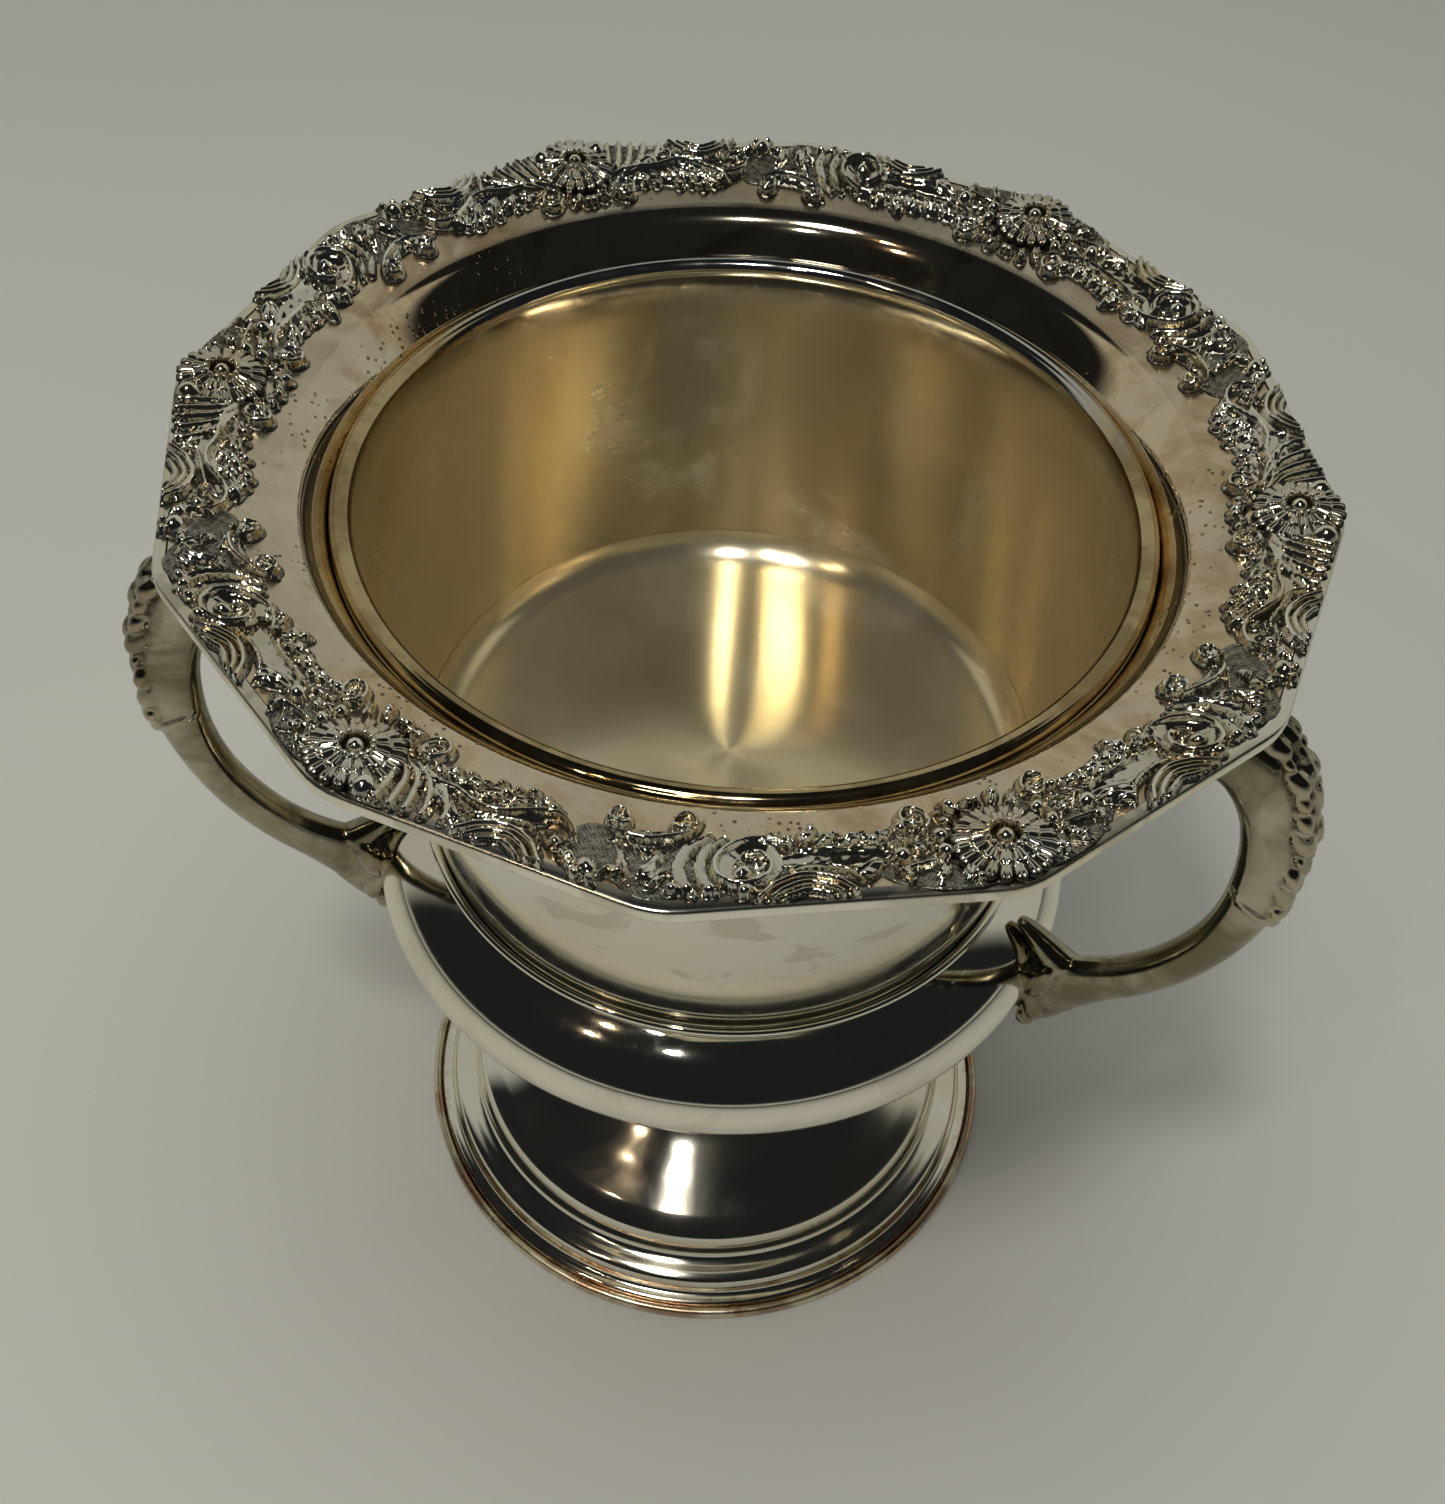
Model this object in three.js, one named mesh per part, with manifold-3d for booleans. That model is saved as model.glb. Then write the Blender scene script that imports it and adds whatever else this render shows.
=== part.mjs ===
// Silver-plated two-handled cup trophy: a spun cup with a broad twelve-sided rim, six cast
// border castings with a rosette between each pair, two cast handles and a stepped foot.
// Millimetres, +Z up, origin on the table at the cup's axis, handles towards +X and -X.

import * as THREE from 'three';
import { mergeVertices } from 'three/addons/utils/BufferGeometryUtils.js';
import Module from 'manifold-3d';

const wasm = await Module();
wasm.setup();

// ---------- Driving dimensions ----------

const SHEET = 1.5; // wall of the spun parts
const GAP = 0.3; // clearance between pieces that meet
const RIM_STEPS = 48; // facets round the rim, four to each of its sides
const TURN_STEPS = 36; // facets round the other turned pieces
const DEG = Math.PI / 180;

const RIM_SIDES = 12;
const RIM_CORNER_R = 121; // centre to a corner of the rim wire
const RIM_TURN = 2.7 * DEG; // first rosette's direction from +X
const RIM_EDGE_Z = 236.5; // top of the flange at its outer edge
const FLANGE_INNER_R = 94; // where the flat of the flange starts to roll into the throat
const FLANGE_INNER_Z = 232;
const THROAT_R = 82.75; // inside of the neck just under the throat
const THROAT_Z = 211;
const THROAT_BEAD_R = 84; // middle of the bead's wire
const THROAT_BEAD_Z = 222.7;
const BEAD_WIRE_R = 2.35;
const CUP_FLOOR_Z = 142; // top of the cup's flat floor, let in above the joint
const WIRE_WIDTH = 2.4; // rim wire, across the rim
const WIRE_HEIGHT = 3.2;
const FLANGE_FLAT_R = FLANGE_INNER_R + 2; // the rim is round inside this and twelve-sided outside
const FLANGE_EDGE_R = RIM_CORNER_R - WIRE_WIDTH - GAP; // corner of the sheet, inside the wire
const FLANGE_TILT = Math.atan((RIM_EDGE_Z - FLANGE_INNER_Z) / (RIM_CORNER_R - FLANGE_INNER_R));

const NECK_BASE_R = 71.5; // outside of the neck at its soldered joint
const JOINT_Z = 129;
const JOINT_WIRE_R = 1.1; // half of the wire's thickness

const BULGE_CENTRE_R = 43.9; // the bulge is a half ellipse turned round the axis
const BULGE_CENTRE_Z = 111.8;
const BULGE_WIDTH = 42.7;
const BULGE_HEIGHT = 22.3;
const BOWL_BOTTOM_Z = 88;

const BORDER_INNER_R = 99;
const BORDER_HEIGHT = 3.6; // relief above the flange
const BORDER_BEVEL = 1.2;
const ROSETTE_COUNT = 6;
const ROSETTE_CENTRE_R = 111;
const ROSETTE_R = 9.2;
const ROSETTE_PETALS = 16;
const PETAL_BEVEL = 0.8;
const ROSETTE_LIFT = 0.5; // clearance under a rosette, so that its tilted back clears the flange

const COLLAR_R = 28.5;
const COLLAR_TOP_Z = BOWL_BOTTOM_Z - GAP;
const COLLAR_BASE_Z = 79;

const FOOT_R = 81.4;
const FOOT_EDGE_HEIGHT = 3;
const FOOT_EDGE_WIDTH = 2.2;

const HANDLE_LEAN = 17.5 * DEG; // each handle stands this far round from +X or -X, towards -Y
const HANDLE_WIDTH = 10.4; // across the bar
const HANDLE_BEVEL = 2.6;
const HANDLE_TOP_Z = 214; // the leaf meets the neck between these two heights
const HANDLE_RETURN_Z = 196;
const HANDLE_SEAT_R = BULGE_CENTRE_R + BULGE_WIDTH - 8; // the bar runs into the bulge this far

const STUD_R = 3;
const STUD_BASE_Z = 22;
const WASHER_Z = 40;
const WASHER_R = 22;
const WASHER_THICKNESS = 1.8;
const WASHER_FLAT_R = 9;
const WASHER_DISH = 5; // rise of the washer's edge above its flat
const NUT_ACROSS_R = 6.5;
const NUT_HEIGHT = 5;

// ---------- Finishes ----------

function finish(colour, roughness, metalness = 1) {
  return new THREE.MeshStandardMaterial({ color: colour, roughness, metalness });
}

const SILVER = finish(0xc9c4b4, 0.16);
const CAST_SILVER = finish(0xb9b3a0, 0.3);
const GILT = finish(0xb39a5e, 0.34);
const WORN_COPPER = finish(0x8e6148, 0.38);
const BRASS = finish(0xa88d52, 0.45);

// ---------- Shape helpers ----------

const point = (x, y) => new THREE.Vector2(x, y);

/** Turns a closed outline of (radius, height) points round the Z axis. */
function turned(outline, steps = TURN_STEPS) {
  const loop = THREE.ShapeUtils.area(outline) > 0 ? outline : outline.slice().reverse();
  const geometry = new THREE.LatheGeometry([...loop, loop[0]], steps, Math.PI / 2);
  return geometry.rotateX(Math.PI / 2);
}

/** The inner side of a sheet whose outer side is the given line. */
function offsetLine(line, distance) {
  return line.map((at, index) => {
    const before = line[Math.max(index - 1, 0)];
    const after = line[Math.min(index + 1, line.length - 1)];
    const along = after.clone().sub(before).normalize();
    return point(at.x - along.y * distance, at.y + along.x * distance);
  });
}

/** A closed sheet outline from its outer line, read from the bottom up. */
function sheet(outer, thickness = SHEET) {
  return [...outer, ...offsetLine(outer, thickness).reverse()];
}

/** Distance from the axis to a twelve-sided edge with the given corner radius. */
function sideRadius(cornerR, angle) {
  const side = (2 * Math.PI) / RIM_SIDES;
  const fromCorner = angle - Math.floor(angle / side) * side;
  return (cornerR * Math.cos(side / 2)) / Math.cos(fromCorner - side / 2);
}

/** Pulls everything beyond innerR out to the twelve-sided edge, without moving innerR itself. */
function squareToRim(geometry, innerR, roundR) {
  const position = geometry.attributes.position;
  for (let i = 0; i < position.count; i += 1) {
    const x = position.getX(i);
    const y = position.getY(i);
    const radius = Math.hypot(x, y);
    if (radius > innerR) {
      const edgeR = sideRadius(roundR, Math.atan2(y, x));
      const share = (radius - innerR) / (roundR - innerR);
      const scale = (innerR + share * (edgeR - innerR)) / radius;
      position.setXY(i, x * scale, y * scale);
    }
  }
  return geometry;
}

/** Height of the flange's upper face at a distance from the axis. */
function flangeZ(radius) {
  const slope = (RIM_EDGE_Z - FLANGE_INNER_Z) / (RIM_CORNER_R - FLANGE_INNER_R);
  return FLANGE_INNER_Z + slope * (radius - FLANGE_INNER_R);
}

/** Lifts a flat piece so that it lies on the sloping twelve-sided flange. */
function layOnFlange(geometry) {
  const position = geometry.attributes.position;
  for (let i = 0; i < position.count; i += 1) {
    const x = position.getX(i);
    const y = position.getY(i);
    const edgeR = sideRadius(FLANGE_EDGE_R, Math.atan2(y, x));
    const share = (Math.hypot(x, y) - FLANGE_FLAT_R) / (edgeR - FLANGE_FLAT_R);
    const roundR = FLANGE_FLAT_R + share * (FLANGE_EDGE_R - FLANGE_FLAT_R);
    position.setZ(i, position.getZ(i) + flangeZ(roundR) + GAP);
  }
  return geometry;
}

/** Radius of the neck's outer face at a height. */
function neckR(z) {
  const share = (z - JOINT_Z) / (THROAT_Z - JOINT_Z);
  return THREE.MathUtils.lerp(NECK_BASE_R, THROAT_R + SHEET, share);
}

function toManifold(geometry) {
  const bare = geometry.clone();
  bare.deleteAttribute('normal');
  bare.deleteAttribute('uv');
  const merged = mergeVertices(bare, 1e-4);
  const vertProperties = new Float32Array(merged.attributes.position.array);
  const triVerts = new Uint32Array(merged.index.array);
  return new wasm.Manifold(new wasm.Mesh({ numProp: 3, vertProperties, triVerts }));
}

function fromManifold(solid) {
  const mesh = solid.getMesh();
  const geometry = new THREE.BufferGeometry();
  geometry.setAttribute('position', new THREE.BufferAttribute(mesh.vertProperties, 3));
  geometry.setIndex(new THREE.BufferAttribute(mesh.triVerts, 1));
  return geometry;
}

const cup = new THREE.Group();

function addPiece(parent, name, geometry, material) {
  const mesh = new THREE.Mesh(geometry, material);
  mesh.name = name;
  parent.add(mesh);
  return mesh;
}

// ---------- Spun cup ----------

/** Neck, throat and flange, spun from one sheet. The line runs along the outside, bottom up. */
function upperBowl() {
  const throat = new THREE.CubicBezierCurve(
    point(THROAT_R + SHEET, THROAT_Z),
    point(THROAT_R + SHEET + 0.7, THROAT_Z + 5),
    point(FLANGE_INNER_R - 3.6, FLANGE_INNER_Z - SHEET - 1.5),
    point(FLANGE_INNER_R + 1, FLANGE_INNER_Z - SHEET + 0.1),
  );
  const outer = [
    point(NECK_BASE_R, JOINT_Z + GAP),
    point(neckR(175), 175),
    ...throat.getPoints(6),
    point(FLANGE_EDGE_R, flangeZ(FLANGE_EDGE_R) - SHEET),
  ];
  const geometry = turned(sheet(outer), RIM_STEPS);
  return squareToRim(geometry, FLANGE_FLAT_R, FLANGE_EDGE_R).rotateZ(RIM_TURN);
}

/** The plain wire that stiffens the rim, seen as a thin dark lip below the ornament. */
function rimWire() {
  const topZ = flangeZ(RIM_CORNER_R) - 0.5;
  const innerR = RIM_CORNER_R - WIRE_WIDTH;
  const outline = [
    point(innerR, topZ - WIRE_HEIGHT + 0.7),
    point(RIM_CORNER_R - 0.6, topZ - WIRE_HEIGHT),
    point(RIM_CORNER_R, topZ - WIRE_HEIGHT + 0.9),
    point(RIM_CORNER_R, topZ - 0.8),
    point(RIM_CORNER_R - 0.6, topZ),
    point(innerR, topZ - 0.3),
  ];
  return squareToRim(turned(outline, RIM_STEPS), 0, RIM_CORNER_R).rotateZ(RIM_TURN);
}

/** The cup's flat floor, a disc soldered inside the neck a little above the joint. */
function cupFloor() {
  const radius = neckR(CUP_FLOOR_Z - SHEET) - SHEET - 2 * GAP;
  return turned([
    point(0, CUP_FLOOR_Z - SHEET),
    point(radius, CUP_FLOOR_Z - SHEET),
    point(radius, CUP_FLOOR_Z),
    point(0, CUP_FLOOR_Z),
  ], RIM_STEPS);
}

/** The fat, hollow bulge under the cup. */
function lowerBowl() {
  const topRise = Math.asin((JOINT_Z - GAP - BULGE_CENTRE_Z) / BULGE_HEIGHT);
  const bulge = new THREE.EllipseCurve(
    BULGE_CENTRE_R, BULGE_CENTRE_Z, BULGE_WIDTH, BULGE_HEIGHT, -Math.PI / 2, topRise,
  );
  const outer = [point(0, BOWL_BOTTOM_Z), point(26, BOWL_BOTTOM_Z), ...bulge.getPoints(11)];
  const inner = offsetLine(outer, SHEET).reverse();
  inner[inner.length - 1].x = 0;
  return turned([...outer, ...inner]);
}

/** Section of a round wire. */
function wireOutline(centreR, centreZ, wireR) {
  const outline = [];
  for (let i = 0; i < 8; i += 1) {
    const angle = (i / 8) * 2 * Math.PI;
    outline.push(point(centreR + wireR * Math.cos(angle), centreZ + wireR * Math.sin(angle)));
  }
  return outline;
}

/** The half-round wire that covers the joint between neck and bulge. */
function jointWire() {
  return turned(wireOutline(NECK_BASE_R + JOINT_WIRE_R + 0.55, JOINT_Z + 1.1, JOINT_WIRE_R));
}

/** The gold-washed bead soldered round the inside of the throat. */
function throatBead() {
  const outline = wireOutline(THROAT_BEAD_R, THROAT_BEAD_Z, BEAD_WIRE_R);
  return turned(outline, RIM_STEPS).rotateZ(RIM_TURN);
}

addPiece(cup, 'upper_bowl', upperBowl(), SILVER);
addPiece(cup, 'cup_floor', cupFloor(), GILT);
addPiece(cup, 'lower_bowl', lowerBowl(), SILVER);
addPiece(cup, 'rim_wire', rimWire(), CAST_SILVER);
addPiece(cup, 'joint_wire', jointWire(), SILVER);
addPiece(cup, 'throat_bead', throatBead(), GILT);

// ---------- Cast border ----------

/** One border casting: it runs from rosette to rosette, past one corner of the rim. */
function borderCasting() {
  const span = (2 * Math.PI) / ROSETTE_COUNT;
  const outerR = RIM_CORNER_R - BORDER_BEVEL - 0.8;
  const endTurn = (0.2 + BORDER_BEVEL) / ROSETTE_CENTRE_R;
  const shape = new THREE.Shape();
  const outerSteps = 8;
  for (let i = 0; i <= outerSteps; i += 1) {
    const angle = endTurn + (i / outerSteps) * (span - 2 * endTurn);
    const radius = sideRadius(outerR, angle);
    const at = [radius * Math.cos(angle), radius * Math.sin(angle)];
    if (i === 0) shape.moveTo(...at);
    else shape.lineTo(...at);
  }
  const innerSteps = 24;
  for (let i = 0; i <= innerSteps; i += 1) {
    const angle = span - endTurn - (i / innerSteps) * (span - 2 * endTurn);
    const wave = 1.5 * Math.sin((i / innerSteps) * 8 * Math.PI);
    const radius = BORDER_INNER_R + BORDER_BEVEL + wave;
    shape.lineTo(radius * Math.cos(angle), radius * Math.sin(angle));
  }
  shape.closePath();
  const slab = new THREE.ExtrudeGeometry(shape, {
    depth: BORDER_HEIGHT - 2 * BORDER_BEVEL,
    bevelThickness: BORDER_BEVEL,
    bevelSize: BORDER_BEVEL,
    bevelSegments: 1,
  }).translate(0, 0, BORDER_BEVEL);
  let solid = toManifold(slab);
  for (const direction of [0, span]) {
    const seat = new THREE.CylinderGeometry(ROSETTE_R + 2 * GAP, ROSETTE_R + 2 * GAP, 40, 24)
      .rotateX(Math.PI / 2)
      .translate(ROSETTE_CENTRE_R, 0, 0)
      .rotateZ(direction);
    solid = solid.subtract(toManifold(seat));
  }
  return layOnFlange(fromManifold(solid));
}

/** A daisy: scalloped petals round a domed boss. */
function rosette() {
  const outline = new THREE.Shape();
  const steps = ROSETTE_PETALS * 2;
  for (let i = 0; i < steps; i += 1) {
    const angle = (i / steps) * 2 * Math.PI;
    const radius = (i % 2 === 0 ? ROSETTE_R : ROSETTE_R * 0.86) - PETAL_BEVEL;
    const at = [radius * Math.cos(angle), radius * Math.sin(angle)];
    if (i === 0) outline.moveTo(...at);
    else outline.lineTo(...at);
  }
  const petals = new THREE.ExtrudeGeometry(outline, {
    depth: 1.2, bevelThickness: PETAL_BEVEL, bevelSize: PETAL_BEVEL, bevelSegments: 1,
  });
  const boss = new THREE.SphereGeometry(3.4, 12, 8).scale(1, 1, 0.62).translate(0, 0, 2.4);
  return fromManifold(toManifold(petals).add(toManifold(boss)));
}

const border = new THREE.Group();
border.rotation.z = RIM_TURN;
cup.add(border);

for (let i = 0; i < ROSETTE_COUNT; i += 1) {
  const direction = (i / ROSETTE_COUNT) * 2 * Math.PI;
  const casting = addPiece(border, `border_casting_${i + 1}`, borderCasting(), CAST_SILVER);
  casting.rotation.z = direction;

  const seat = new THREE.Group();
  seat.rotation.z = direction;
  border.add(seat);
  const daisy = addPiece(seat, `rosette_${i + 1}`, rosette(), CAST_SILVER);
  daisy.position.set(ROSETTE_CENTRE_R, 0, flangeZ(ROSETTE_CENTRE_R) + PETAL_BEVEL + ROSETTE_LIFT);
  daisy.rotation.y = -FLANGE_TILT;
}

// ---------- Handles ----------

/** Side view of a handle: x is the distance from the cup's axis, y the height. */
function handleOutline() {
  const wallGap = GAP + HANDLE_BEVEL + 0.4;
  const shape = new THREE.Shape();
  shape.moveTo(neckR(HANDLE_TOP_Z) + wallGap, HANDLE_TOP_Z);
  shape.splineThru([
    point(104, 217), point(117, 221), point(124, 214), point(129, 200),
    point(131.6, 184), point(131.4, 170), point(127, 152), point(117, 134),
    point(104, 116), point(96, 102), point(91, 93), point(84.5, 91),
  ]);
  shape.lineTo(HANDLE_SEAT_R, 97);
  shape.lineTo(HANDLE_SEAT_R, 123);
  shape.splineThru([
    point(95, 128.5), point(106, 134), point(113.5, 143), point(119, 156),
    point(121, 171), point(119.5, 184), point(113, 192.5), point(104, 195),
    point(neckR(HANDLE_RETURN_Z) + wallGap, HANDLE_RETURN_Z),
  ]);
  shape.closePath();
  return shape;
}

/** The room that a handle leaves for the bulge it is soldered to. */
function bulgeClearance() {
  const clear = 0.6;
  const section = new THREE.EllipseCurve(
    BULGE_CENTRE_R, BULGE_CENTRE_Z, BULGE_WIDTH + clear, BULGE_HEIGHT + clear,
    -Math.PI / 2, Math.PI / 2,
  );
  const outline = [point(0, BULGE_CENTRE_Z - BULGE_HEIGHT), ...section.getPoints(12)];
  outline.push(point(0, BULGE_CENTRE_Z + BULGE_HEIGHT));
  return toManifold(turned(outline));
}

function handle() {
  const geometry = new THREE.ExtrudeGeometry(handleOutline(), {
    depth: HANDLE_WIDTH - 2 * HANDLE_BEVEL,
    bevelThickness: HANDLE_BEVEL,
    bevelSize: HANDLE_BEVEL,
    bevelSegments: 2,
    curveSegments: 2,
  });
  geometry.translate(0, 0, HANDLE_BEVEL - HANDLE_WIDTH / 2).rotateX(Math.PI / 2);
  return fromManifold(toManifold(geometry).subtract(bulgeClearance()));
}

const handleDirections = { handle_right: -HANDLE_LEAN, handle_left: Math.PI + HANDLE_LEAN };

for (const [name, direction] of Object.entries(handleDirections)) {
  const piece = addPiece(cup, name, handle(), CAST_SILVER);
  piece.rotation.z = direction;
}

// ---------- Stem and foot ----------

function stemCollar() {
  const middleZ = (COLLAR_TOP_Z + COLLAR_BASE_Z) / 2;
  return turned([
    point(STUD_R + 1, COLLAR_BASE_Z),
    point(COLLAR_R - 3.5, COLLAR_BASE_Z),
    point(COLLAR_R - 0.8, COLLAR_BASE_Z + 1.6),
    point(COLLAR_R, middleZ),
    point(COLLAR_R - 0.8, COLLAR_TOP_Z - 1.6),
    point(COLLAR_R - 3.5, COLLAR_TOP_Z),
    point(STUD_R + 1, COLLAR_TOP_Z),
  ]);
}

/** The spun foot: two rolled steps, a low dome and a waisted stem, read from the edge inwards. */
function footShell() {
  const edgeR = FOOT_R - FOOT_EDGE_WIDTH - GAP;
  const steps = [
    point(edgeR, 1.6), point(edgeR - 0.8, 2.9), point(76.8, 3.3), point(75.4, 4.6),
    point(74.6, 6.8), point(73.4, 7.9), point(69.6, 9.2), point(68, 10.6), point(67.6, 14),
  ];
  const dome = new THREE.SplineCurve([
    point(66.6, 17), point(62, 21), point(52, 26.5), point(41, 33.5), point(31.5, 44),
    point(25.6, 57), point(23.4, 68), point(24.4, COLLAR_BASE_Z - GAP),
  ]);
  return turned(sheet([...steps, ...dome.getPoints(9)]));
}

/** The wire round the foot's lower edge, where the plate is worn through. */
function footEdge() {
  const innerR = FOOT_R - FOOT_EDGE_WIDTH;
  return turned([
    point(innerR, 0),
    point(FOOT_R - 0.5, 0),
    point(FOOT_R, 0.6),
    point(FOOT_R, FOOT_EDGE_HEIGHT - 1),
    point(FOOT_R - 0.8, FOOT_EDGE_HEIGHT),
    point(innerR, FOOT_EDGE_HEIGHT),
  ]);
}

addPiece(cup, 'stem_collar', stemCollar(), SILVER);
addPiece(cup, 'foot_shell', footShell(), SILVER);
addPiece(cup, 'foot_edge_wire', footEdge(), WORN_COPPER);

// ---------- Tie stud inside the foot ----------

function tieStud() {
  const topZ = BOWL_BOTTOM_Z - GAP;
  const geometry = new THREE.CylinderGeometry(STUD_R, STUD_R, topZ - STUD_BASE_Z, 16);
  return geometry.rotateX(Math.PI / 2).translate(0, 0, (topZ + STUD_BASE_Z) / 2);
}

function dishedWasher() {
  const edgeZ = WASHER_Z + WASHER_DISH;
  return turned([
    point(STUD_R + GAP, WASHER_Z),
    point(WASHER_FLAT_R, WASHER_Z),
    point(WASHER_R, edgeZ),
    point(WASHER_R, edgeZ + WASHER_THICKNESS),
    point(WASHER_FLAT_R, WASHER_Z + WASHER_THICKNESS),
    point(STUD_R + GAP, WASHER_Z + WASHER_THICKNESS),
  ]);
}

function hexNut() {
  const shape = new THREE.Shape();
  for (let i = 0; i < 6; i += 1) {
    const at = [NUT_ACROSS_R * Math.cos(i * 60 * DEG), NUT_ACROSS_R * Math.sin(i * 60 * DEG)];
    if (i === 0) shape.moveTo(...at);
    else shape.lineTo(...at);
  }
  shape.closePath();
  const bore = new THREE.Path();
  bore.absarc(0, 0, STUD_R + GAP, 0, 2 * Math.PI, true);
  shape.holes.push(bore);
  const geometry = new THREE.ExtrudeGeometry(shape, {
    depth: NUT_HEIGHT, bevelEnabled: false, curveSegments: 16,
  });
  return geometry.translate(0, 0, WASHER_Z - NUT_HEIGHT - GAP);
}

addPiece(cup, 'tie_stud', tieStud(), BRASS);
addPiece(cup, 'foot_washer', dishedWasher(), BRASS);
addPiece(cup, 'foot_nut', hexNut(), BRASS);

export default cup;
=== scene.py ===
import math

import bmesh
import bpy
import numpy as np
from mathutils import Matrix, Vector


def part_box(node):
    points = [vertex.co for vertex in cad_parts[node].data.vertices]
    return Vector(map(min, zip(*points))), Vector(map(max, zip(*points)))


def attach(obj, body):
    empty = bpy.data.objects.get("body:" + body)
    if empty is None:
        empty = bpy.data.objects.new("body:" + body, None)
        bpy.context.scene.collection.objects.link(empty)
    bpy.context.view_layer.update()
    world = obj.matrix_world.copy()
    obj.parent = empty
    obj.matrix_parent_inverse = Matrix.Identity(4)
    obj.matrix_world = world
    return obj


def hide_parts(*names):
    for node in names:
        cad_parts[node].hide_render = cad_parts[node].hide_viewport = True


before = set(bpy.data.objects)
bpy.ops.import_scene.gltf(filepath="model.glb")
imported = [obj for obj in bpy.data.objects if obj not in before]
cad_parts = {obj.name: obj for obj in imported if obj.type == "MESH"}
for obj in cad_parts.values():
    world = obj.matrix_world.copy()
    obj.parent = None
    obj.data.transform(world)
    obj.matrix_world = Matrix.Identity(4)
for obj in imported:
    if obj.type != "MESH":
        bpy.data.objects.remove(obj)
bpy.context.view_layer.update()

MM = 0.001  # the script works in millimetres and builds its meshes in metres

# ---------- sizes, from the frame


def low(node, axis):
    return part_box(node)[0][axis] / MM


def high(node, axis):
    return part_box(node)[1][axis] / MM


X, Y, Z = 0, 1, 2
SHEET = 1.5  # wall of the spun parts
GAP = 0.3  # clearance between CAD pieces that meet
TURN = 2 * math.pi
STEPS = 288  # round the turned pieces; a multiple of the rim's sides
WIRE_STEPS = 28  # round the section of a wire
AXIS_R = 0.02  # turned faces stop this close to the axis

RIM_SIDES = 12
RIM_SIDE = TURN / RIM_SIDES
RIM_TURN = math.radians(2.7)  # first rosette's direction from +X
RIM_CORNER_R = 121.0
RIM_CORNER_BLEND = 0.035  # angle to both sides over which a corner is softened
RIM_EDGE_Z = 236.5  # top of the flange at its corners
FLANGE_INNER_R = 94.0
FLANGE_INNER_Z = 232.0
FLANGE_ROUND_R = 96.0  # the rim is round inside this radius and twelve-sided outside
FLANGE_EDGE_R = 118.3
FLANGE_SLOPE = (RIM_EDGE_Z - FLANGE_INNER_Z) / (RIM_CORNER_R - FLANGE_INNER_R)
THROAT_R = 82.75
THROAT_Z = 211.0
GILT_TOP_Z = 221.0
THROAT_BEAD_R = 84.0
THROAT_BEAD_Z = 222.7
THROAT_WIRE_R = 2.35

JOINT_Z = low("upper_bowl", Z) - GAP
JOINT_WIRE_R = 1.1
NECK_BASE_R = 71.5
CUP_FLOOR_Z = high("cup_floor", Z)
BOWL_BOTTOM_Z = low("lower_bowl", Z)
BOWL_BOTTOM_R = 26.0
BULGE_R = high("lower_bowl", X)
BULGE_CENTRE_R = 43.9
BULGE_WIDTH = BULGE_R - BULGE_CENTRE_R
BULGE_CENTRE_Z = 111.8
BULGE_HEIGHT = 22.3

FOOT_R = high("foot_edge_wire", X)
FOOT_EDGE_HEIGHT = high("foot_edge_wire", Z)
COLLAR_BASE_Z = low("stem_collar", Z)
COLLAR_TOP_Z = high("stem_collar", Z)

ROSETTE_COUNT = 6
ROSETTE_CENTRE_R = 111.0
ROSETTE_R = 9.2
ROSETTE_SEAT = 1.4  # over the flange
PETALS = 20
INNER_PETALS = 13
PETAL_NOTCH = 0.13  # depth of the notch between two petals, as a share of their reach
SECTOR = TURN / ROSETTE_COUNT
SECTOR_LENGTH = SECTOR * ROSETTE_CENTRE_R

HANDLE_LEAN = math.radians(17.5)

# ---------- mesh helpers


def smooth_line(points, steps):
    """Catmull-Rom curve through points with any number of coordinates, as an array."""
    p = np.asarray(points, float)
    p = np.vstack([2 * p[0] - p[1], p, 2 * p[-1] - p[-2]])
    t = np.linspace(0, 1, steps, endpoint=False)[:, None]
    out = []
    for a, b, c, d in zip(p[:-3], p[1:-2], p[2:-1], p[3:]):
        out.append(0.5 * (2 * b + (c - a) * t + (2 * a - 5 * b + 4 * c - d) * t**2
                          + (3 * b - a - 3 * c + d) * t**3))
    out.append(p[-2:-1])
    return np.vstack(out)


def rounded(points, rounds=2):
    """Cuts the corners of an open polyline until it is smooth; the ends stay."""
    p = np.asarray(points, float)
    for _ in range(rounds):
        q = p[:-1] * 0.75 + p[1:] * 0.25
        r = p[:-1] * 0.25 + p[1:] * 0.75
        p = np.vstack([p[:1], np.stack([q, r], 1).reshape(-1, p.shape[1])[1:-1], p[-1:]])
    return p


def bezier(a, b, c, d, steps):
    a, b, c, d = (np.asarray(v, float) for v in (a, b, c, d))
    t = np.linspace(0, 1, steps)[:, None]
    return (1 - t)**3 * a + 3 * (1 - t)**2 * t * b + 3 * (1 - t) * t**2 * c + t**3 * d


def line(a, b, steps):
    return np.linspace(a, b, steps)


def offset(points, distance):
    """The line moved sideways, to its left as it is read."""
    p = np.asarray(points, float)
    along = np.gradient(p, axis=0)
    along /= np.linalg.norm(along, axis=1)[:, None]
    return p + distance * np.stack([-along[:, 1], along[:, 0]], 1)


def joined(*lines):
    """Lines end to end, without the points that repeat."""
    p = np.vstack(lines)
    keep = np.append(True, np.linalg.norm(np.diff(p, axis=0), axis=1) > 1e-6)
    return p[keep]


def add_object(name, data):
    item = bpy.data.objects.new(name, data)
    bpy.context.scene.collection.objects.link(item)
    return item


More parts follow.
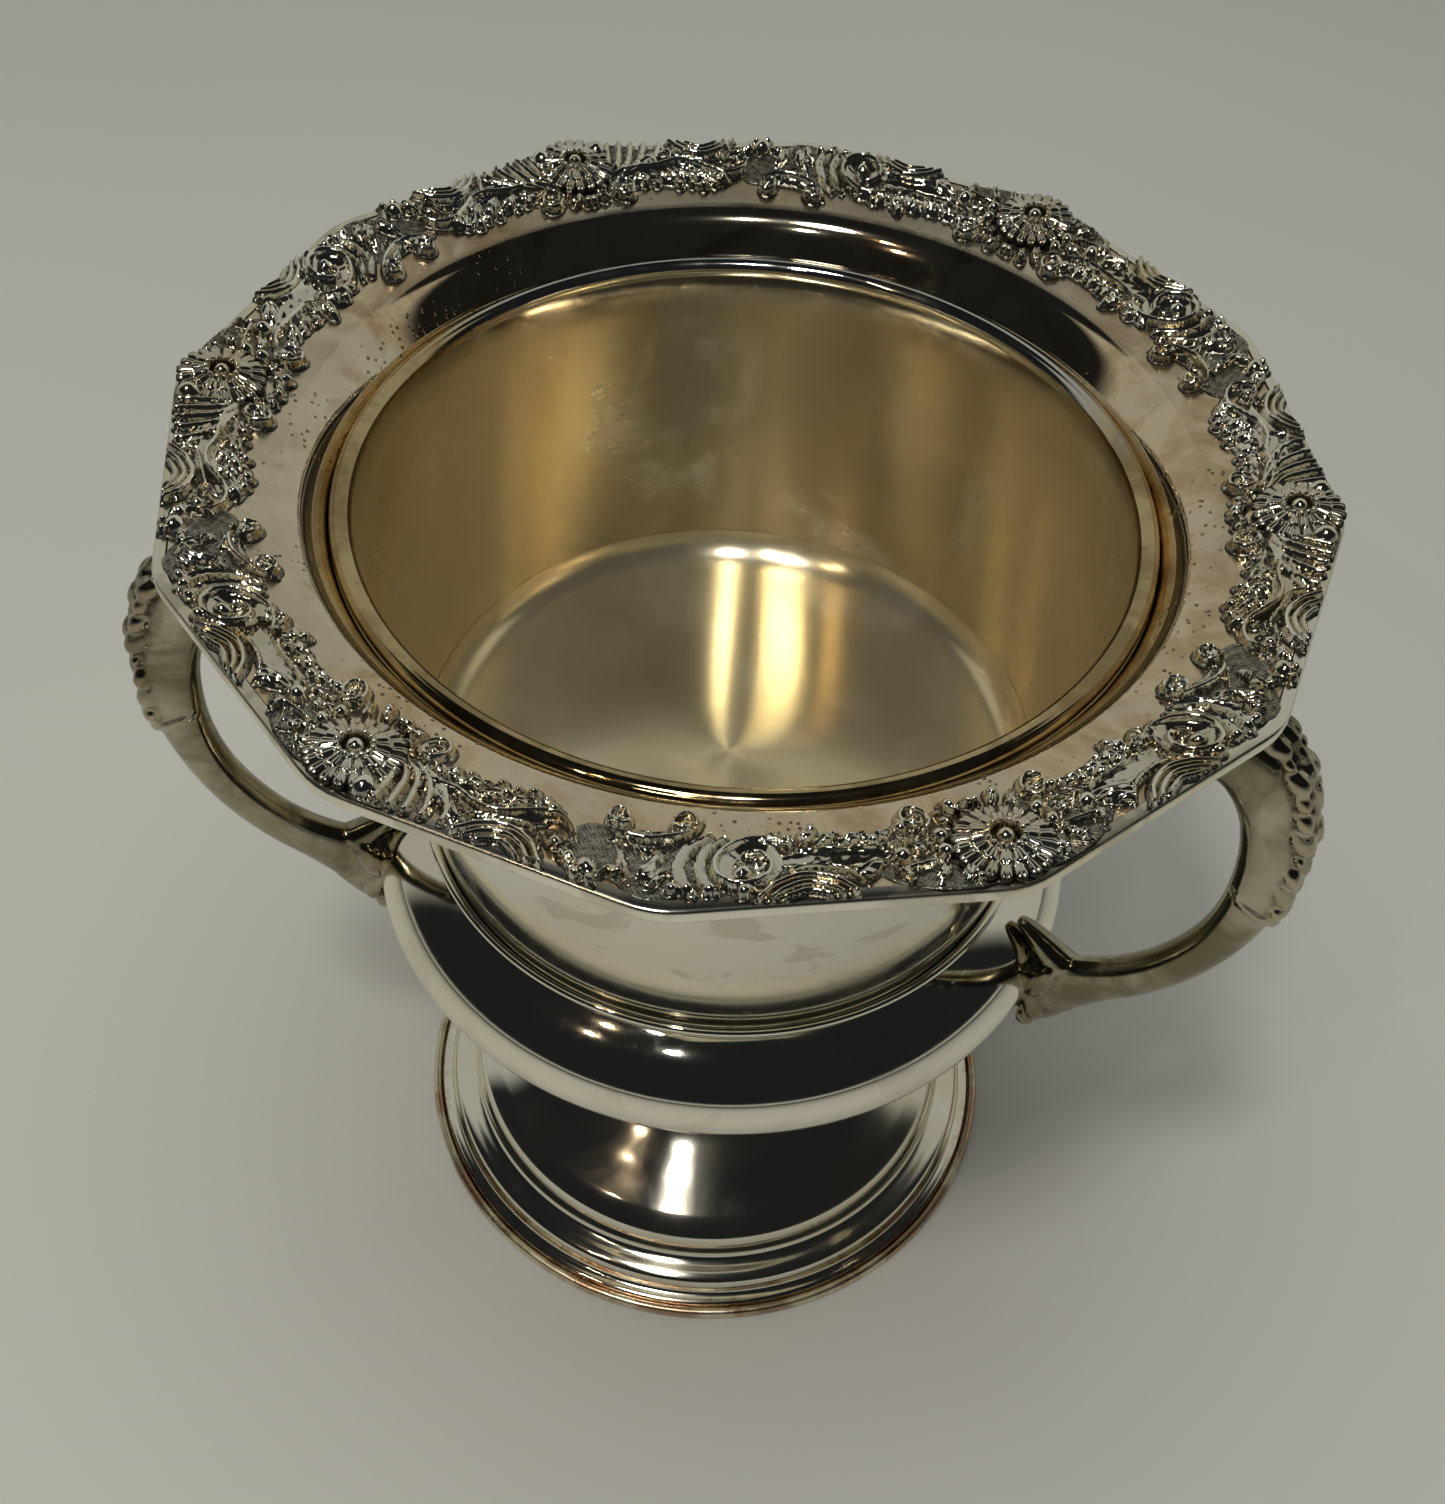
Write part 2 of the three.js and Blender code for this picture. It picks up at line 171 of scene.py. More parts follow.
def add_mesh(name, verts, faces, materials, nodes, face_material=None, crease=40):
    """A closed piece in millimetres, shaded smooth, riding on the one body."""
    mesh = bpy.data.meshes.new(name)
    mesh.from_pydata((np.asarray(verts) * MM).tolist(), [], [list(f) for f in faces])
    for material in materials:
        mesh.materials.append(material)
    if face_material is not None:
        mesh.polygons.foreach_set("material_index", np.asarray(face_material, np.int32))
    mesh.validate()
    mesh.shade_smooth()
    mesh.set_sharp_from_angle(angle=math.radians(crease))
    piece = add_object(name, mesh)
    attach(piece, "root")
    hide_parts(*nodes)
    return piece


def side_radius(corner_r, angle):
    """Distance from the axis to a twelve-sided edge with the given corner radius."""
    from_corner = np.mod(angle, RIM_SIDE)
    return corner_r * math.cos(RIM_SIDE / 2) / np.cos(from_corner - RIM_SIDE / 2)


def soft_side_radius(corner_r, angle):
    """The twelve-sided edge with slightly rounded corners."""
    spread = np.linspace(-RIM_CORNER_BLEND, RIM_CORNER_BLEND, 7)
    return sum(side_radius(corner_r, angle + d) for d in spread) / len(spread)


def flange_z(radius):
    return FLANGE_INNER_Z + FLANGE_SLOPE * (radius - FLANGE_INNER_R)


def rim_top(radius, angle):
    """Height of the flange's upper face at a radius, and an angle from the first rosette."""
    edge_r = soft_side_radius(FLANGE_EDGE_R, angle)
    share = (radius - FLANGE_ROUND_R) / (edge_r - FLANGE_ROUND_R)
    return flange_z(FLANGE_ROUND_R + share * (FLANGE_EDGE_R - FLANGE_ROUND_R))


def lathe(outline, steps=STEPS, square_from=0.0, square_r=None):
    """Vertices and quads of a closed outline of (radius, height) turned round Z.

    With square_r, everything beyond square_from is pulled to the twelve-sided edge.
    """
    outline = np.asarray(outline, float)
    angle = np.arange(steps) / steps * TURN
    radius, height = (np.repeat(column[:, None], steps, 1) for column in outline.T)
    if square_r:
        edge = soft_side_radius(square_r, angle)[None, :]
        share = np.clip((radius - square_from) / (square_r - square_from), 0, None)
        radius = np.where(radius > square_from, square_from + share * (edge - square_from), radius)
        angle = angle + RIM_TURN
    verts = np.stack([radius * np.cos(angle), radius * np.sin(angle), height], -1).reshape(-1, 3)
    index = np.arange(len(verts)).reshape(-1, steps)
    above = np.roll(index, -1, 0)
    faces = np.stack([index, np.roll(index, -1, 1), np.roll(above, -1, 1), above], -1)
    return verts, faces.reshape(-1, 4).tolist()


def turned(name, outline, material, slot, nodes, **lathe_options):
    verts, faces = lathe(outline, **lathe_options)
    add_mesh(name, verts, faces, [material], nodes)


def spun_sheet(name, outer, inner, outside, nodes):
    """A sheet turned from its two faces, polished on the outer one only."""
    outline = np.vstack([outer, inner])
    verts, faces = lathe(outline)
    part = np.zeros(len(outline), int)
    part[len(outer):-1] = 1
    add_mesh(name, verts, faces, [outside, INSIDE_SILVER], nodes,
             face_material=np.repeat(part, STEPS))


# ---------- materials


class Graph:
    """A small builder for a node tree; place is the socket that gives the position."""

    def __init__(self, tree, place):
        self.tree = tree
        self.place = self.add("ShaderNodeTexCoord").outputs[place]

    def add(self, kind, inputs=None, **settings):
        """A new node; inputs gives a value or a socket for some of its inputs."""
        node = self.tree.nodes.new(kind)
        for key, value in settings.items():
            setattr(node, key, value)
        self.fill(node, inputs or {})
        return node

    def fill(self, node, inputs):
        for key, value in inputs.items():
            if isinstance(value, bpy.types.NodeSocket):
                self.tree.links.new(value, node.inputs[key])
            else:
                node.inputs[key].default_value = value

    def split(self):
        return self.add("ShaderNodeSeparateXYZ", {0: self.place}).outputs

    def math(self, operation, a, b=0.0):
        return self.add("ShaderNodeMath", {0: a, 1: b}, operation=operation).outputs[0]

    def plus(self, a, b):
        return self.math("ADD", a, b)

    def times(self, a, b):
        return self.math("MULTIPLY", a, b)

    def step(self, value, start, end, low_out=0.0, high_out=1.0):
        """Smooth step of value from start to end."""
        inputs = {"Value": value, "From Min": start, "From Max": end,
                  "To Min": low_out, "To Max": high_out}
        return self.add("ShaderNodeMapRange", inputs, interpolation_type="SMOOTHSTEP").outputs[0]

    def mix(self, share, a, b):
        """Colour a where share is 0 and b where it is 1."""
        inputs = {0: share, 6: colour(a), 7: colour(b)}
        return self.add("ShaderNodeMix", inputs, data_type="RGBA").outputs[2]

    def blend(self, share, a, b):
        """Value a where share is 0 and b where it is 1."""
        return self.add("ShaderNodeMix", {0: share, 2: a, 3: b}, data_type="FLOAT").outputs[0]


class Nodes(Graph):
    """The node tree of one material."""

    def __init__(self, name):
        self.material = bpy.data.materials.new(name)
        self.material.use_nodes = True
        super().__init__(self.material.node_tree, "Object")
        self.shader = self.tree.nodes["Principled BSDF"]

    def noise(self, scale, detail, roughness, stretch=(1, 1, 1), distortion=0.0):
        """Noise with scale in features per metre."""
        mapping = self.add("ShaderNodeMapping", {"Scale": stretch, "Vector": self.place})
        return self.add("ShaderNodeTexNoise", {
            "Vector": mapping.outputs[0], "Scale": scale, "Detail": detail,
            "Roughness": roughness, "Distortion": distortion}).outputs["Fac"]

    def cells(self, scale):
        """Distance from the middle of the nearest of many cells."""
        inputs = {"Vector": self.place, "Scale": scale}
        return self.add("ShaderNodeTexVoronoi", inputs).outputs["Distance"]

    def ragged(self, value, noise, amount):
        """The value moved up and down by a noise, over a range of that amount."""
        return self.plus(value, self.times(self.math("SUBTRACT", noise, 0.5), amount))

    def radius(self):
        """Distance of the surface point from the cup's axis, in metres."""
        x, y, _ = self.split()
        return self.math("SQRT", self.plus(self.times(x, x), self.times(y, y)))

    def attribute(self, name):
        return self.add("ShaderNodeAttribute", attribute_name=name).outputs["Fac"]

    def bump(self, *layers):
        """Layers of (height, depth in millimetres), one over the other."""
        below = {}
        for height, depth in layers:
            inputs = {"Strength": 1.0, "Distance": depth * MM, "Height": height, **below}
            below = {"Normal": self.add("ShaderNodeBump", inputs).outputs[0]}
        self.fill(self.shader, below)

    def done(self, base, roughness, metallic=1.0, **more):
        self.fill(self.shader, {"Base Color": colour(base), "Roughness": roughness,
                                "Metallic": metallic, **more})
        return self.material


def colour(value):
    """A socket, or an (r, g, b) tuple made into a colour."""
    return value if isinstance(value, bpy.types.NodeSocket) else (*value, 1.0)


BRIGHT_SILVER = (0.90, 0.86, 0.74)
WARM_SILVER = (0.80, 0.72, 0.53)
GREY_TARNISH = (0.62, 0.57, 0.46)
BLACKENING = (0.03, 0.027, 0.02)
COPPER = (0.56, 0.35, 0.22)
GOLD_WASH = (0.56, 0.46, 0.27)
OLIVE_WASH = (0.41, 0.365, 0.24)
GREY_WASH = (0.78, 0.73, 0.58)


def polished_silver(name, tarnish, mirror):
    """Polished plate with cloudy, faintly yellow tarnish and a few grey patches."""
    n = Nodes(name)
    cloud = n.noise(22, 5, 0.6, distortion=0.6)
    patch = n.step(n.noise(38, 3, 0.5, distortion=1.2), 0.54, 0.60)
    fine = n.noise(420, 4, 0.6)
    warm = n.mix(n.step(cloud, 0.38, 0.72, 0.0, tarnish), BRIGHT_SILVER, WARM_SILVER)
    grey = n.mix(n.times(patch, 0.65 * tarnish), warm, GREY_TARNISH)
    rough = n.plus(n.step(cloud, 0.35, 0.75, mirror, mirror + 0.12 * tarnish),
                   n.times(patch, 0.08 * tarnish))
    scuffs = n.step(fine, 0.5, 0.8, 0.0, 0.04)
    n.bump((n.noise(30, 2, 0.4), 0.10), (fine, 0.004))
    return n.done(grey, n.plus(rough, scuffs))


def rim_silver(name):
    """The flange: mottled brown and pinkish tarnish with dark pits, and a mirror-like throat."""
    n = Nodes(name)
    radius = n.radius()
    mottle = n.noise(70, 6, 0.66, distortion=0.9)
    broad = n.noise(17, 4, 0.55, distortion=0.7)
    flat = n.step(radius, 0.0944, 0.0952)
    film = n.step(n.ragged(radius, mottle, 0.003), 0.0855, 0.0870)
    tan = n.mix(n.step(mottle, 0.36, 0.66), (0.84, 0.70, 0.49), (0.62, 0.46, 0.28))
    pale = n.mix(n.step(broad, 0.42, 0.60, 0.0, 0.7), tan, (0.80, 0.73, 0.58))
    brown = n.mix(n.step(n.noise(31, 5, 0.6, distortion=1.1), 0.56, 0.70, 0.0, 0.75), pale,
                  (0.50, 0.34, 0.19))
    pit = n.times(n.step(n.cells(520), 0.16, 0.26, 1.0, 0.0),
                  n.step(n.noise(45, 2, 0.5), 0.50, 0.60))
    tarnished = n.mix(n.times(pit, 0.8), brown, (0.10, 0.06, 0.035))
    base = n.mix(film, BRIGHT_SILVER, tarnished)
    n.bump((n.noise(35, 2, 0.4), 0.10), (mottle, 0.012), (pit, -0.05))
    return n.done(base, n.blend(flat, 0.06, n.step(mottle, 0.3, 0.75, 0.20, 0.36)))


def gilt(name, gold_wash, olive_wash, grey_wash, polish):
    """The gold wash inside the cup: brushed round the axis, cloudy, worn off at the throat."""
    n = Nodes(name)
    x, y, z = n.split()
    cloud = n.noise(26, 6, 0.62, distortion=0.4)
    drift = n.noise(11, 3, 0.5)
    gold = n.mix(n.step(drift, 0.36, 0.62), gold_wash, olive_wash)
    gold = n.mix(n.step(cloud, 0.51, 0.68, 0.0, 0.6), gold, grey_wash)
    # painted highlight: the wash is painted brighter to the two sides, toward the handles, for the
    # light these walls reflect
    side = n.step(n.math("ABSOLUTE", x), 0.035, 0.075)
    gold = n.mix(side, gold, (0.86, 0.73, 0.45))
    # the wash stops lower on one side than on the other
    tilted = n.plus(z, n.times(y, 0.02))
    worn = n.step(n.ragged(tilted, n.noise(90, 4, 0.6), 0.006), 0.2150, 0.2190)
    base = n.mix(worn, gold, WARM_SILVER)
    brush = n.noise(60, 3, 0.7, stretch=(1, 1, 24))
    rough = n.plus(n.step(cloud, 0.40, 0.72, polish, polish + 0.07), n.times(brush, 0.04))
    n.bump((n.noise(30, 2, 0.4), 0.05), (brush, 0.002))
    tangent = n.add("ShaderNodeTangent", direction_type="RADIAL", axis="Z").outputs[0]
    brushed = {"Tangent": tangent, "Anisotropic": 0.92, "Anisotropic Rotation": 0.25}
    return n.done(base, n.blend(worn, rough, 0.07), 0.9, **brushed)


def bead_gilt(name):
    """The bead round the throat: polished and brown, with a painted reflection: its far half is
    painted pale grey.
    """
    n = Nodes(name)
    cloud = n.noise(60, 4, 0.6)
    gold = n.mix(n.step(cloud, 0.40, 0.62), (0.62, 0.49, 0.27), (0.36, 0.27, 0.14))
    # painted reflection: the half away from the front is painted pale grey, as it reflects the dark
    # room
    far_half_reflection = n.step(n.ragged(n.split()[Y], cloud, 0.03), 0.030, 0.055)
    base = n.mix(far_half_reflection, gold, (0.66, 0.65, 0.60))
    return n.done(base, n.step(n.noise(90, 3, 0.5), 0.4, 0.7, 0.06, 0.14))


def cast_silver(name, relief_top):
    """Cast ornament: bright high points over recesses that have gone black."""
    n = Nodes(name)
    relief = n.attribute("relief")
    dirt = n.noise(700, 4, 0.6)
    patch = n.noise(60, 4, 0.6, distortion=0.6)
    recess = n.step(n.ragged(relief, dirt, 0.3), 0.16, 0.68, 1.0, 0.0)
    warm = n.mix(n.step(patch, 0.35, 0.7), (0.97, 0.94, 0.84), (0.76, 0.68, 0.51))
    dull = n.mix(n.step(relief, 0.9, relief_top, 0.35, 0.0), warm, (0.42, 0.36, 0.26))
    base = n.mix(n.times(recess, 0.94), dull, BLACKENING)
    rough = n.plus(n.step(patch, 0.3, 0.7, 0.07, 0.13), n.times(recess, 0.3))
    n.bump((dirt, 0.03), (n.noise(2600, 2, 0.5), 0.005))
    return n.done(base, rough)


def handle_silver(name):
    """Cast and polished bar with brown tarnish, black in the leaf's grooves."""
    n = Nodes(name)
    relief = n.attribute("relief")
    cloud = n.noise(34, 5, 0.62, distortion=0.8)
    fine = n.noise(500, 4, 0.6)
    groove = n.step(n.ragged(relief, fine, 0.12), -0.50, -0.04, 0.9, 0.0)
    warm = n.mix(n.step(cloud, 0.34, 0.60), (0.50, 0.455, 0.34), (0.22, 0.19, 0.12))
    rub = n.mix(n.step(relief, 0.3, 0.8, 0.0, 0.6), warm, (0.56, 0.40, 0.27))
    base = n.mix(groove, rub, BLACKENING)
    n.bump((n.noise(120, 3, 0.5), 0.08), (fine, 0.012))
    return n.done(base, n.plus(n.step(cloud, 0.3, 0.7, 0.09, 0.20), n.times(groove, 0.3)))


def worn_edge(name):
    """The foot's lower wire: plate rubbed through to copper and brown here and there."""
    n = Nodes(name)
    wear = n.noise(120, 5, 0.65, distortion=0.5)
    base = n.mix(n.step(wear, 0.4, 0.6), COPPER, (0.40, 0.32, 0.23))
    bright = n.mix(n.step(n.noise(60, 3, 0.5), 0.44, 0.56), base, WARM_SILVER)
    n.bump((wear, 0.03))
    return n.done(bright, n.step(wear, 0.3, 0.7, 0.2, 0.38))


def foot_silver(name):
    """The foot: polished plate, a little copper showing at the lowest edge."""
    n = Nodes(name)
    cloud = n.noise(26, 5, 0.6, distortion=0.7)
    fine = n.noise(300, 4, 0.65)
    warm = n.mix(n.step(cloud, 0.4, 0.7, 0.0, 0.6), BRIGHT_SILVER, WARM_SILVER)
    copper = n.step(n.ragged(n.split()[Z], fine, 0.004), 0.0020, 0.0036, 0.7, 0.0)
    base = n.mix(copper, warm, COPPER)
    n.bump((n.noise(30, 2, 0.4), 0.08), (fine, 0.005))
    return n.done(base, n.step(cloud, 0.35, 0.75, 0.07, 0.18))


def plain_brass(name):
    """The bolted fittings inside the foot."""
    n = Nodes(name)
    cloud = n.noise(90, 4, 0.6)
    base = n.mix(n.step(cloud, 0.4, 0.7), (0.66, 0.52, 0.28), (0.42, 0.32, 0.18))
    n.bump((n.noise(500, 3, 0.5, stretch=(1, 1, 8)), 0.01))
    return n.done(base, n.step(cloud, 0.3, 0.7, 0.3, 0.5))


def inside_silver(name):
    """The unpolished hollow side of a spun part."""
    n = Nodes(name)
    cloud = n.noise(35, 4, 0.6)
    base = n.mix(n.step(cloud, 0.35, 0.7), (0.58, 0.54, 0.46), (0.36, 0.32, 0.26))
    n.bump((n.noise(80, 3, 0.6, stretch=(1, 1, 30)), 0.02))
    return n.done(base, n.step(cloud, 0.3, 0.7, 0.32, 0.5))


NECK_SILVER = polished_silver("neck_silver", 0.9, 0.08)
BULGE_SILVER = polished_silver("bulge_silver", 0.35, 0.05)
RIM_SILVER = rim_silver("rim_silver")
GILT = gilt("gilt_lining", GOLD_WASH, OLIVE_WASH, GREY_WASH, 0.20)
BEAD_GILT = bead_gilt("gilt_bead")
FLOOR_GILT = gilt("gilt_floor", (0.64, 0.56, 0.36), (0.72, 0.66, 0.50), GREY_WASH, 0.16)
CAST = cast_silver("cast_ornament", 2.6)
HANDLE_SILVER = handle_silver("handle_silver")
FOOT_SILVER = foot_silver("foot_silver")
INSIDE_SILVER = inside_silver("inside_silver")
COPPER_EDGE = worn_edge("copper_edge")
BRASS = plain_brass("brass")
CAST_PLAIN = polished_silver("plain_cast", 1.1, 0.16)

# ---------- spun cup


def neck_r(z):
    return NECK_BASE_R + (THROAT_R + SHEET - NECK_BASE_R) * (z - JOINT_Z) / (THROAT_Z - JOINT_Z)


def upper_bowl():
    """Neck, throat and flange: silver outside and on top, gold-washed inside."""
    top_r = THROAT_R + SHEET
    under_z = FLANGE_INNER_Z - SHEET
    neck = line((NECK_BASE_R, JOINT_Z + GAP), (top_r, THROAT_Z), 40)
    throat = bezier((top_r, THROAT_Z), (top_r + 0.7, THROAT_Z + 5),
                    (FLANGE_INNER_R - 3.6, under_z - 1.5), (FLANGE_INNER_R + 1, under_z + 0.1), 20)
    flange = line(throat[-1], (FLANGE_EDGE_R, flange_z(FLANGE_EDGE_R) - SHEET), 12)
    outer = joined(neck, throat, flange)
    inner = offset(outer, SHEET)[::-1]
    outline = np.vstack([outer, inner])
    verts, faces = lathe(outline, square_from=FLANGE_ROUND_R, square_r=FLANGE_EDGE_R)
    part = np.zeros(len(outline), int)
    inside = np.arange(len(outer), len(outline))
    part[inside] = 1
    part[inside[inner[:, 1] < GILT_TOP_Z]] = 2
    part[-1] = 0
    add_mesh("upper_bowl_spun", verts, faces, [NECK_SILVER, RIM_SILVER, GILT],
             ["upper_bowl"], face_material=np.repeat(part, STEPS))


def cup_floor():
    """The gold-washed floor, turned up into the wall by a round fillet."""
    wall_r = neck_r(CUP_FLOOR_Z) - SHEET - 0.15
    fillet = 6.5
    angle = np.linspace(0, -math.pi / 2, 12)
    bend = np.stack([wall_r - fillet + fillet * np.cos(angle),
                     CUP_FLOOR_Z + fillet + fillet * np.sin(angle)], 1)
    flat = line((wall_r - fillet, CUP_FLOOR_Z), (AXIS_R, CUP_FLOOR_Z), 30)
    bend[:, 0] += 0.155 * (bend[:, 1] - CUP_FLOOR_Z)  # the wall leans outwards
    under = line((AXIS_R, CUP_FLOOR_Z - SHEET), (wall_r - 0.3, CUP_FLOOR_Z - SHEET), 4)
    turned("cup_floor_disc", joined(under, bend, flat), FLOOR_GILT, "gilt", ["cup_floor"])


def lower_bowl():
    """The hollow bulge under the cup."""
    rise = math.asin((JOINT_Z - GAP - BULGE_CENTRE_Z) / BULGE_HEIGHT)
    angle = np.linspace(-math.pi / 2, rise, 60)
    bulge = np.stack([BULGE_CENTRE_R + BULGE_WIDTH * np.cos(angle),
                      BULGE_CENTRE_Z + BULGE_HEIGHT * np.sin(angle)], 1)
    bottom = line((AXIS_R, BOWL_BOTTOM_Z), (BOWL_BOTTOM_R, BOWL_BOTTOM_Z), 8)
    outer = joined(bottom, line(bottom[-1], bulge[0], 6), bulge)
    inner = offset(outer, SHEET)[::-1]
    inner[-1, 0] = AXIS_R
    spun_sheet("lower_bowl_spun", outer, inner, BULGE_SILVER, ["lower_bowl"])


def rim_wire():
    """The plain lip that the flange's edge is rolled over."""
    top_z = flange_z(RIM_CORNER_R) - 0.2
    inner_r = FLANGE_EDGE_R + 0.05
    outline = rounded([
        (inner_r, top_z - 3.0), (RIM_CORNER_R - 0.3, top_z - 3.5), (RIM_CORNER_R, top_z - 1.7),
        (RIM_CORNER_R - 0.2, top_z), (inner_r, top_z + 0.05),
    ], 3)
    turned("rim_lip", outline, CAST_PLAIN, "cast_silver", ["rim_wire"], square_r=RIM_CORNER_R)


def wire_outline(centre_r, centre_z, radius):
    angle = np.arange(WIRE_STEPS) / WIRE_STEPS * TURN
    return np.stack([centre_r + radius * np.cos(angle), centre_z + radius * np.sin(angle)], 1)


def joint_wire():
    """The fine wire where the neck meets the bulge."""
    centre_z = (low("joint_wire", Z) + high("joint_wire", Z)) / 2
    outline = wire_outline(high("joint_wire", X) - JOINT_WIRE_R, centre_z, JOINT_WIRE_R)
    turned("joint_bead", outline, BULGE_SILVER, "silver", ["joint_wire"])


def throat_bead():
    """The gilt bead that hides the step from the flange to the lining."""
    outline = wire_outline(THROAT_BEAD_R, THROAT_BEAD_Z, THROAT_WIRE_R)
    turned("throat_roll", outline, BEAD_GILT, "gilt", ["throat_bead"])


upper_bowl()
cup_floor()
lower_bowl()
rim_wire()
joint_wire()
throat_bead()

# ---------- foot


def foot():
    """Two rounded steps, a low dome and a waisted stem, in one sheet."""
    edge_r = FOOT_R - 2.5
    steps = rounded([
        (edge_r, 1.2), (edge_r - 0.4, 2.9), (76.8, 3.3), (75.6, 3.7), (74.9, 5.6), (74.2, 7.6),
        (72.6, 8.4), (69.6, 9.2), (68.4, 9.9), (67.7, 11.4), (67.4, 14.0), (66.8, 16.8),
        (65.2, 18.6), (62, 21),
    ])
    dome = smooth_line([(62, 21), (52, 26.5), (41, 33.5), (31.5, 44), (25.6, 57), (23.4, 68),
                        (24.4, COLLAR_BASE_Z - GAP)], 14)
    outer = joined(steps, dome)
    inner = offset(outer, SHEET)[::-1]
    spun_sheet("foot_spun", outer, inner, FOOT_SILVER, ["foot_shell"])


def foot_edge():
    """The wire round the foot's lower edge."""
    inner_r = FOOT_R - 2.2
    outline = rounded([
        (inner_r, 0), (FOOT_R - 0.5, 0), (FOOT_R, 0.5), (FOOT_R, FOOT_EDGE_HEIGHT - 0.9),
        (FOOT_R - 0.6, FOOT_EDGE_HEIGHT), (inner_r + 0.3, FOOT_EDGE_HEIGHT + 0.1), (inner_r, 2.6),
    ])
    turned("foot_edge_ring", outline, COPPER_EDGE, "worn_copper", ["foot_edge_wire"])


def stem_collar():
    """The ring between the cup's bottom and the stem."""
    radius = high("stem_collar", X)
    half = [(4, 0), (radius - 4, 0), (radius - 3, 1.5), (radius - 0.5, 1.9)]
    below = [(r, COLLAR_BASE_Z + z) for r, z in half]
    above = [(r, COLLAR_TOP_Z - z) for r, z in half[::-1]]
    outline = rounded([*below, (radius, (COLLAR_TOP_Z + COLLAR_BASE_Z) / 2), *above])
    turned("stem_ring", outline, BULGE_SILVER, "silver", ["stem_collar"], steps=STEPS // 2)


def fittings():
    """The bolted fittings keep their CAD shape."""
    for fitting in ("tie_stud", "foot_washer", "foot_nut"):
        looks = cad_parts[fitting].data.materials
        looks.clear()
        looks.append(BRASS)


foot()
foot_edge()
stem_collar()
fittings()

# ---------- cast border

GROUND = 0.35  # the ground between the ornaments, above the flange
SUNK = -0.9  # where the casting lies under the flange's surface, so that its outline shows
BORDER_DEPTH = 1.25  # from the flange's surface down to the underside of the castings
BORDER_INNER_T = 24.0
BORDER_OUTER_T = 0.55
BORDER_COLUMNS = 460
BORDER_ROWS = 96
MIRRORED_BORDERS = (2, 6)  # castings whose ornament runs the other way


